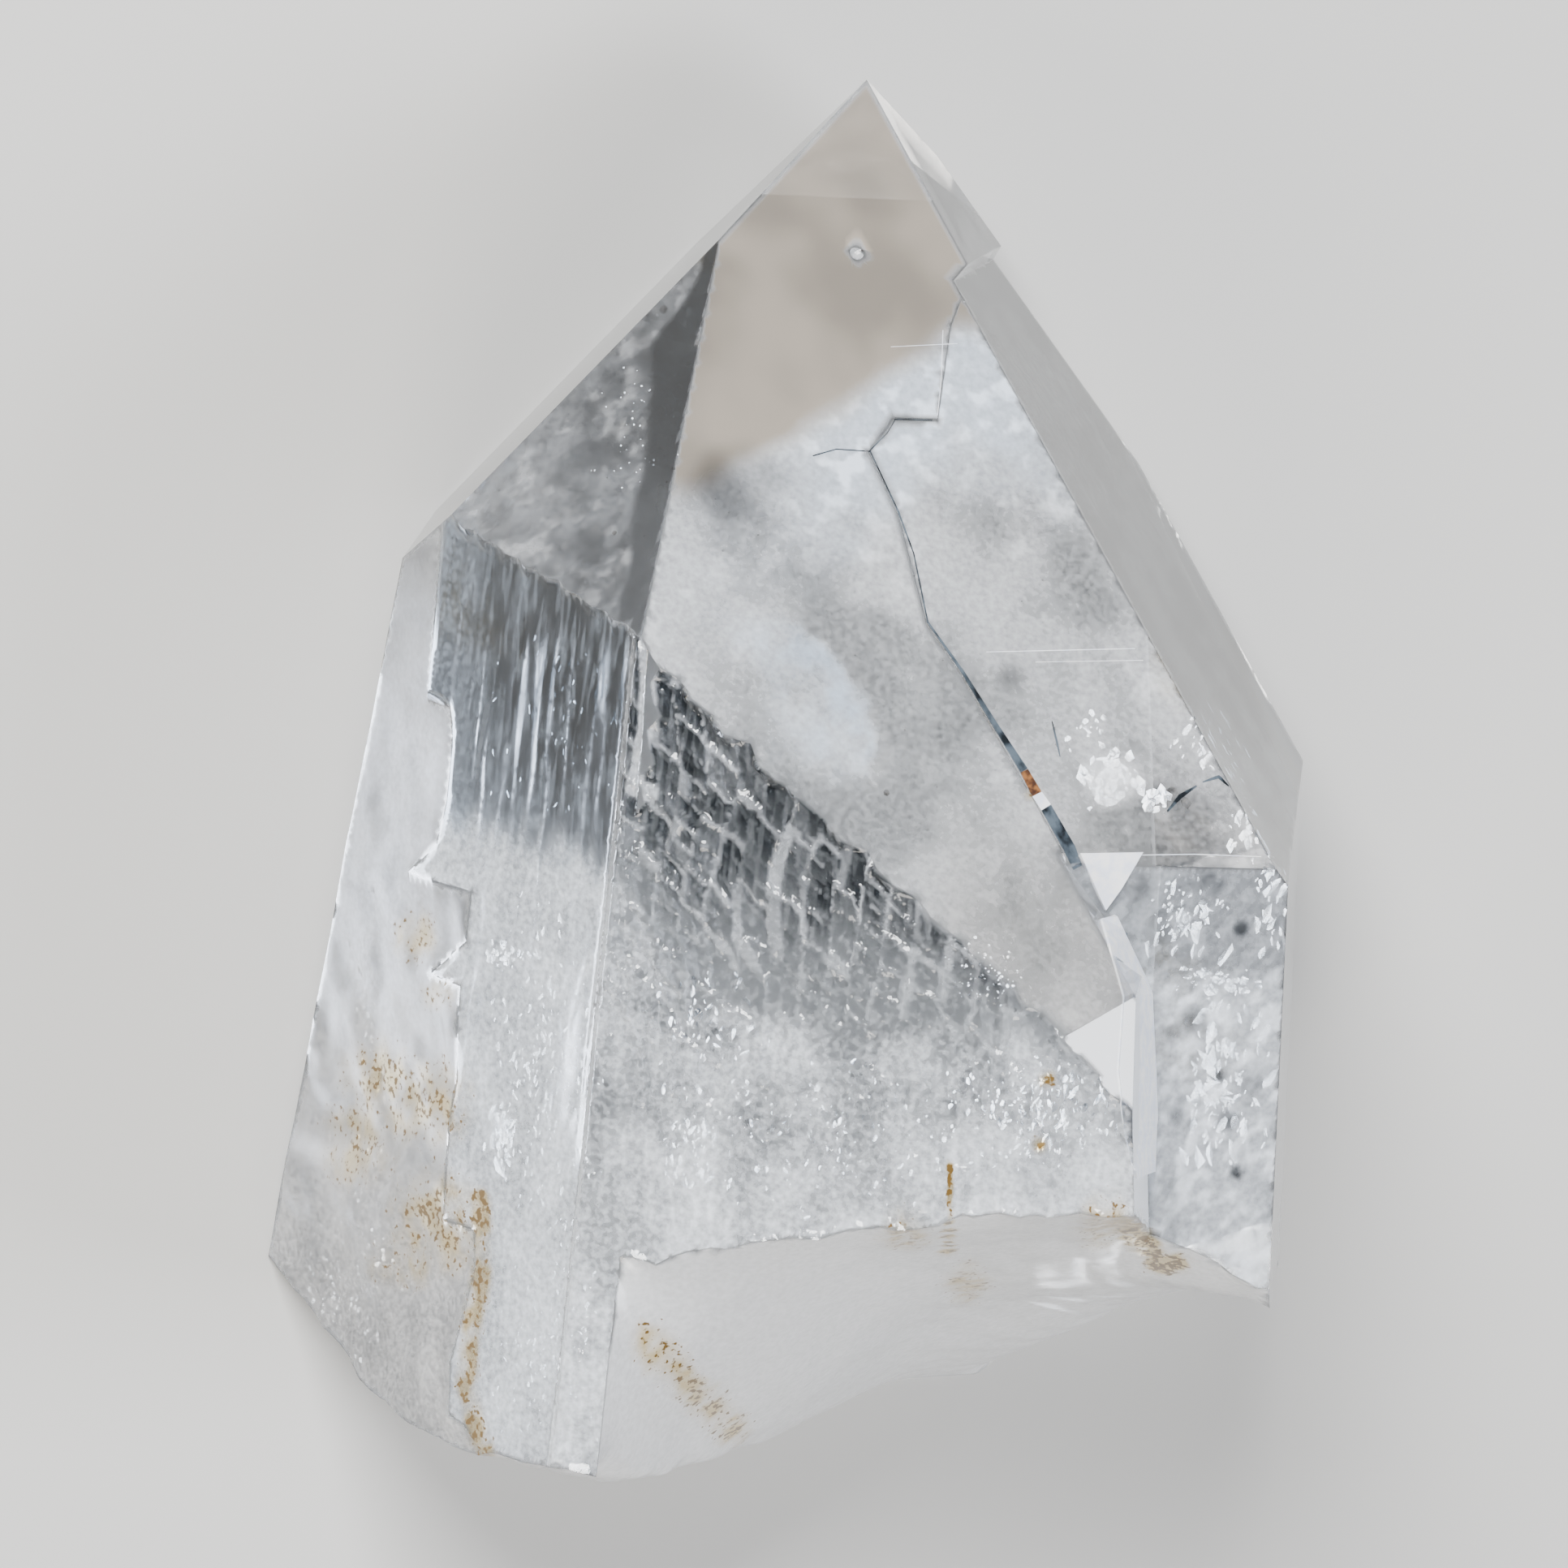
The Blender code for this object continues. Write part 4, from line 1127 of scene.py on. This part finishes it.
veil(
    "veil_curl",
    across=(-6, 4),
    down=(28, 36),
    depth=lambda x, y: 6.0 + 0.6 * x + 0.3 * lump(x, y, 3.0),
    thickness=bright_curl,
    material=soft_cloud,
)


# The fibres lie under the front face below its dark part, and thin out at every side.
FIBRES_LEFT = -13.0
FIBRES_RIGHT = 12.5
FIBRES_FOOT = 61.0
FIBRES_BELOW_DARK = 0.5
FIBRES_THICKEN_OVER = (0.0, 2.5)
FIBRES_THINNEST = 0.35
FIBRE_CLUMPS_OVER = (-0.1, 0.5)


def front_fibres(x, y):
    below_dark = y - float(np.interp(x, *DARK_ENDS)) - FIBRES_BELOW_DARK
    edge = min(x - FIBRES_LEFT, FIBRES_RIGHT - x, below_dark, FIBRES_FOOT - y)
    clumps = step_between(*FIBRE_CLUMPS_OVER, lump(x / 2, y / 6, 9.0))
    return step_between(*FIBRES_THICKEN_OVER, edge) * between(FIBRES_THINNEST, 1.0, clumps)


veil(
    "veil_fibres",
    across=(-14, 13),
    down=(44, 61),
    depth=lambda x, y: 2.6 + 1.4 * lump(x / 3, y / 8, 4.0),
    thickness=front_fibres,
    material=fibrous_veil,
)

# Open cracks close under the skin: curved films of air up to two millimetres across, which mirror the light
# like foil and make the crystal sparkle. Each is turned to send a softbox's light up from the crystal, some
# less exactly than others. Lengths are in millimetres.
FILM_TURN = 0.03
FILM_CURVE = 0.03
FILM_CORNERS = 7
FILM_DEPTH = 0.1
FILM_DEPTH_OF_SIZE = 0.5
FILM_DEPTH_SPREAD = 0.3
FILM_LEAST_DEPTH = 0.04
FILM_LEAN = 0.4
FILM_REACH = (0.45, 1.0)
CORNER_SHIFT = 0.3
OFF_THE_SKIN = 0.05
LIGHT_WAYS = [Vector(way).normalized() for way in (KEY_WAY, FILL_WAY)]
LEAST_LIGHT = 0.2

# Air in a crack mirrors all the light that reaches it at a slant, so it looks like white foil.
film_air = new_material("air film in a crack")
tree = film_air.node_tree
streaks = noise_in_mm(tree, (2.0, 2.0, 2.0))
colours = {"_6": linear("#dfe8f2"), "_7": linear("#ffffff")}
shade = add_node(tree, "ShaderNodeMix", MIX_COLOURS, Factor=streaks, **colours).outputs[2]
shader = add_node(tree, "ShaderNodeBsdfPrincipled", Base_Color=shade, Metallic=1.0, Roughness=0.2)
add_node(tree, "ShaderNodeOutputMaterial", Surface=shader.outputs["BSDF"])


def add_film(bm, dice, across, down, size, stretch):
    """Adds one film just under the skin, stretched along the crystal."""
    spot, normal = on_skin(across, down)
    if spot is None:
        return
    lit = [way for way in LIGHT_WAYS if skin.ray_cast(spot + way * OFF_THE_SKIN, way)[0] is None]
    light = max(lit, key=normal.dot, default=-normal)
    if normal.dot(light) < LEAST_LIGHT:
        return
    sight = inside(TOWARDS_CAMERA, normal)
    turned = Vector([dice.gauss(0, FILM_TURN) for _ in range(3)])
    outward = (sight + inside(light, normal) + 2 * turned).normalized()
    depth = FILM_DEPTH + FILM_DEPTH_OF_SIZE * size + dice.uniform(0.0, FILM_DEPTH_SPREAD)
    middle = spot - sight * depth
    if depth_inside(middle) < FILM_LEAST_DEPTH:
        return
    along = Vector((0, 1, 0)) - Vector((0, 1, 0)).project(outward)
    along = (along.normalized() + FILM_LEAN * Vector([dice.gauss(0, 1) for _ in range(3)])).normalized()
    aside = outward.cross(along).normalized()
    along = aside.cross(outward)
    hub = bm.verts.new(in_row(middle + outward * size * FILM_CURVE))
    rim = []
    for k in range(FILM_CORNERS):
        angle = 2 * math.pi * (k + dice.uniform(-CORNER_SHIFT, CORNER_SHIFT)) / FILM_CORNERS
        reach = size * dice.uniform(*FILM_REACH)
        way = along * (math.cos(angle) * stretch) + aside * math.sin(angle)
        rim.append(bm.verts.new(in_row(middle + way * reach)))
    for k in range(FILM_CORNERS):
        bm.faces.new((hub, rim[k], rim[(k + 1) % FILM_CORNERS]))


# Each patch of films: (across, down, half width, half height, how many, smallest, largest, stretch).
FILM_PATCHES = {
    "right_films": [
        (12.3, 35.8, 1.2, 0.9, 7, 0.70, 1.15, 1.4),
        (12.4, 35.9, 2.0, 1.6, 46, 0.10, 0.60, 1.4),
        (11.9, 40.7, 0.9, 0.8, 22, 0.25, 0.60, 1.0),
        (14.7, 36.9, 0.7, 0.8, 12, 0.15, 0.50, 1.2),
        (11.0, 33.6, 1.3, 1.2, 14, 0.06, 0.22, 1.5),
        (17.6, 33.6, 2.6, 3.0, 60, 0.05, 0.24, 2.6),
        (19.3, 38.0, 1.3, 2.0, 26, 0.06, 0.30, 2.0),
        (20.4, 42.0, 1.2, 3.2, 30, 0.08, 0.32, 2.4),
        (15.4, 42.2, 1.3, 1.8, 16, 0.06, 0.30, 1.0),
        (17.9, 46.2, 2.6, 0.9, 40, 0.10, 0.50, 0.7),
        (18.0, 51.5, 2.8, 5.0, 110, 0.07, 0.38, 2.4),
        (16.5, 43.0, 2.6, 2.2, 50, 0.08, 0.40, 2.4),
    ],
    "ribbed_films": [
        (-16.4, 50.5, 3.2, 9.5, 260, 0.04, 0.15, 2.6),
        (-18.6, 54.0, 0.7, 1.7, 50, 0.10, 0.40, 2.0),
        (-18.4, 44.8, 1.0, 1.0, 26, 0.08, 0.26, 1.3),
        (-16.0, 64.5, 3.3, 6.0, 150, 0.04, 0.14, 2.2),
        (-15.5, 33.0, 4.0, 5.0, 70, 0.03, 0.10, 3.0),
    ],
    "front_films": [
        (7.2, 52.6, 5.2, 3.2, 150, 0.04, 0.17, 1.6),
        (-2.5, 54.0, 8.0, 4.5, 170, 0.04, 0.14, 2.0),
        (5.8, 45.6, 2.4, 1.9, 80, 0.04, 0.13, 1.0),
        (-8.0, 48.5, 3.0, 3.5, 60, 0.05, 0.18, 2.6),
        (9.5, 52.5, 3.6, 2.4, 90, 0.05, 0.20, 3.2),
        (-9.0, 54.5, 1.6, 2.4, 60, 0.06, 0.26, 2.4),
    ],
    "left_films": [
        (-25.6, 48.0, 1.2, 8.0, 80, 0.05, 0.17, 2.0),
        (-26.6, 61.0, 3.0, 5.5, 130, 0.05, 0.22, 1.0),
        (-24.0, 38.0, 1.6, 6.0, 30, 0.03, 0.09, 1.5),
    ],
    "tip_films": [
        (-11.5, 18.0, 3.0, 4.5, 50, 0.03, 0.09, 1.0),
        (0.5, 14.0, 6.0, 9.0, 24, 0.02, 0.05, 1.0),
    ],
}
for name, patches in FILM_PATCHES.items():
    bm = bmesh.new()
    dice = random.Random(name)
    for x, y, half_width, half_height, count, smallest, largest, stretch in patches:
        for _ in range(count):
            across = x + half_width * dice.triangular(-1, 1, 0)
            down = y + half_height * dice.triangular(-1, 1, 0)
            size = smallest + (largest - smallest) * dice.random() ** 2
            add_film(bm, dice, across, down, size, stretch)
    finish_piece(name, bm, film_air)


def solid_stone(name, dark, light, per_mm, roughness):
    """Stone that shows one tone from most sides, streaked by noise."""
    material = new_material(name)
    tree = material.node_tree
    streaks = noise_in_mm(tree, per_mm, detail=3.0, low=0.35, high=0.65)
    colours = {"_6": linear(dark), "_7": linear(light)}
    shade = add_node(tree, "ShaderNodeMix", MIX_COLOURS, Factor=streaks, **colours).outputs[2]
    finish = {"Base_Color": shade, "Roughness": roughness, "IOR": QUARTZ_IOR}
    shader = add_node(tree, "ShaderNodeBsdfPrincipled", **finish)
    add_node(tree, "ShaderNodeOutputMaterial", Surface=shader.outputs["BSDF"])
    return material


# Specks of dark mineral, mostly chlorite and rutile, that the crystal grew round. They are dull and nearly
# black. Each is given as (across, down, radius). More are strewn in patches, given as (across, down, half
# width, half height, how many).
SPECK_DEPTH = 0.12
STREWN_RADIUS = (0.03, 0.09)
SPECK_STRETCH = (0.6, 1.3)
SPECKS = [
    (-0.2, 8.9, 0.11),
    (3.3, 9.3, 0.13),
    (3.5, 9.0, 0.07),
    (-12.8, 23.5, 0.14),
    (-9.9, 23.7, 0.12),
    (18.9, 56.2, 0.30),
    (15.5, 36.6, 0.34),
    (16.1, 37.1, 0.30),
    (17.5, 36.3, 0.22),
    (9.4, 33.3, 0.16),
    (9.6, 34.2, 0.13),
    (0.9, 36.6, 0.20),
    (-3.8, 54.6, 0.10),
    (14.0, 26.6, 0.07),
    (-24.9, 51.2, 0.30),
]
SPECK_PATCHES = [(18.0, 50.0, 2.6, 6.0, 26), (-9.0, 23.0, 6.0, 5.0, 16), (3.0, 27.0, 9.0, 12.0, 22)]
speck_stone = solid_stone("dark chlorite speck", "#23211f", "#4d463e", (4.0, 4.0, 4.0), 0.5)
dice = random.Random("specks")
for x, y, half_width, half_height, count in SPECK_PATCHES:
    for _ in range(count):
        place = (x + half_width * dice.triangular(-1, 1, 0), y + half_height * dice.triangular(-1, 1, 0))
        SPECKS.append((*place, dice.uniform(*STREWN_RADIUS)))
bm = bmesh.new()
for x, y, radius in SPECKS:
    place = under(x, y, SPECK_DEPTH + radius)
    if place is not None and depth_inside(place) > radius:
        grown = bmesh.ops.create_icosphere(bm, subdivisions=1, radius=radius * MM)["verts"]
        for vert in grown:
            vert.co = in_row(place) + vert.co * dice.uniform(*SPECK_STRETCH)
finish_piece("specks", bm, speck_stone)

# Growth steps, cracks and small facets on the main face and the plate: the riser of the ledge, its rusty
# plug, and pale narrow facets. The ledge lines, the riser and the dark cracks are painted nearly black:
# painted darkness, which stands in for the dark surroundings seen through clear quartz. Each is a thin sliver
# or plate let into the skin. A sliver is given by the line that its left side follows, as (across, down,
# width), and a plate by its corners, in millimetres.
SLIVER_PROUD = 0.015
SLIVER_SUNK = 0.06
SLIVER_PARTS = 6


def sliver(name, stations, material, proud=(SLIVER_PROUD, SLIVER_PROUD)):
    """A thin closed strip over the skin, right of a line of stations. proud is how far each side rises."""
    bm = bmesh.new()
    rings = []
    stations = [
        tuple(a + (b - a) * k / SLIVER_PARTS for a, b in zip(first, second))
        for first, second in zip(stations, stations[1:])
        for k in range(SLIVER_PARTS)
    ] + [stations[-1]]
    for index, (x, y, width) in enumerate(stations):
        before = stations[max(0, index - 1)]
        after = stations[min(len(stations) - 1, index + 1)]
        run = Vector((after[0] - before[0], after[1] - before[1])).normalized()
        ring = []
        for side, top in zip((0.0, width), proud):
            spot, normal = on_skin(x + side * run.y, y - side * run.x)
            ring.append([bm.verts.new(in_row(spot + normal * lift)) for lift in (top, -SLIVER_SUNK)])
        rings.append((ring[0][0], ring[1][0], ring[1][1], ring[0][1]))
    for first, second in zip(rings, rings[1:]):
        for k in range(4):
            bm.faces.new((first[k], first[(k + 1) % 4], second[(k + 1) % 4], second[k]))
    bm.faces.new(rings[0][::-1])
    bm.faces.new(rings[-1])
    bmesh.ops.recalc_face_normals(bm, faces=bm.faces)
    return finish_piece(name, bm, material)


def facet(name, corners, material, proud=SLIVER_PROUD):
    """A thin closed plate over the skin, with these corners."""
    bm = bmesh.new()
    levels = []
    for lift in (proud, -SLIVER_SUNK):
        level = []
        for x, y in corners:
            spot, normal = on_skin(x, y)
            level.append(bm.verts.new(in_row(spot + normal * lift)))
        levels.append(level)
        bm.faces.new(level)
    for k in range(len(corners)):
        after = (k + 1) % len(corners)
        bm.faces.new((levels[0][k], levels[0][after], levels[1][after], levels[1][k]))
    bmesh.ops.recalc_face_normals(bm, faces=bm.faces)
    return finish_piece(name, bm, material)


# A step is painted glossy and nearly black, as painted darkness for the dark surroundings seen through clear
# quartz; the plug is dull and brown like dried clay, a frosted facet is white with a silky gloss, and a facet
# in painted shade is blue grey and glossy.
painted_dark_step = solid_stone("growth step painted dark", "#181c20", "#56616b", (1.2, 0.6, 1.2), 0.12)
rusty_plug = solid_stone("iron oxide plug", "#3a1d0c", "#8a5a30", (3.0, 3.0, 3.0), 0.5)
pale_facet = solid_stone("frosted facet and painted highlight", "#e9eefa", "#ffffff", (1.5, 1.5, 1.5), 0.35)
blue_facet = solid_stone("facet in painted shade", "#2f3c49", "#8797a6", (2.4, 0.8, 2.4), 0.1)
sliver("ledge_line_top", [(3.85, 13.0, 0.03), (3.75, 15.5, 0.03), (3.55, 17.4, 0.03)], pale_facet)
sliver(
    "ledge_line_upper",
    [(3.3, 17.65, 0.02), (1.4, 17.6, 0.04), (1.0, 18.3, 0.03), (0.1, 19.2, 0.06)],
    painted_dark_step,
)
sliver("ledge_line_branch", [(0.1, 19.25, 0.05), (-1.6, 19.15, 0.05), (-2.8, 19.5, 0.06)], painted_dark_step)
sliver(
    "ledge_line",
    [(0.1, 19.25, 0.05), (1.54, 22.4, 0.07), (2.3, 24.5, 0.06), (3.0, 28.0, 0.07)],
    painted_dark_step,
)
sliver(
    "ledge_riser",
    [(3.0, 28.0, 0.08), (4.7, 30.5, 0.16), (6.4, 33.4, 0.28), (7.7, 35.6, 0.42)],
    painted_dark_step,
)
sliver("ledge_plug", [(7.7, 35.6, 0.42), (8.3, 36.8, 0.52)], rusty_plug)
sliver("ledge_gap", [(8.3, 36.8, 0.52), (8.75, 37.5, 0.56)], pale_facet)
sliver("ledge_riser_low", [(8.75, 37.5, 0.56), (9.9, 39.6, 0.62), (10.35, 40.5, 0.5)], painted_dark_step)
RIBBON = [(11.7, 43.0, 0.8), (12.8, 46.9, 1.5), (12.5, 50.6, 2.0), (12.8, 53.4, 1.8), (13.4, 56.0, 1.1)]
sliver("riser_ribbon", RIBBON, pale_facet, proud=(0.12, 0.34))
# The bright facet's white is a painted highlight, which stands in for the light that this facet mirrors.
facet("bright_facet", [(10.6, 39.8), (13.8, 39.75), (12.7, 41.4), (11.9, 42.5)], pale_facet, proud=0.3)
# The blue facet is painted blue grey as painted shade.
facet("blue_facet", [(11.9, 43.2), (13.1, 43.7), (13.3, 45.4), (12.5, 45.0)], blue_facet)
sliver("dark_crack_1", [(15.2, 37.6, 0.10), (15.9, 36.9, 0.24), (16.7, 36.3, 0.08)], painted_dark_step)
sliver("dark_crack_2", [(17.0, 36.1, 0.06), (17.8, 35.9, 0.18), (18.3, 36.3, 0.05)], painted_dark_step)
sliver("dark_crack_3", [(9.3, 33.0, 0.04), (9.5, 34.0, 0.10), (9.7, 34.8, 0.04)], painted_dark_step)
sliver("striation_1", [(6.0, 29.5, 0.03), (10.0, 29.4, 0.04), (13.6, 29.3, 0.03)], pale_facet)
sliver("striation_2", [(8.5, 30.0, 0.02), (14.0, 29.9, 0.03)], pale_facet)
sliver("striation_3", [(1.2, 13.9, 0.02), (4.6, 13.7, 0.03)], pale_facet)
sliver("striation_4", [(12.6, 39.8, 0.03), (16.5, 39.75, 0.04), (20.6, 39.9, 0.03)], pale_facet)
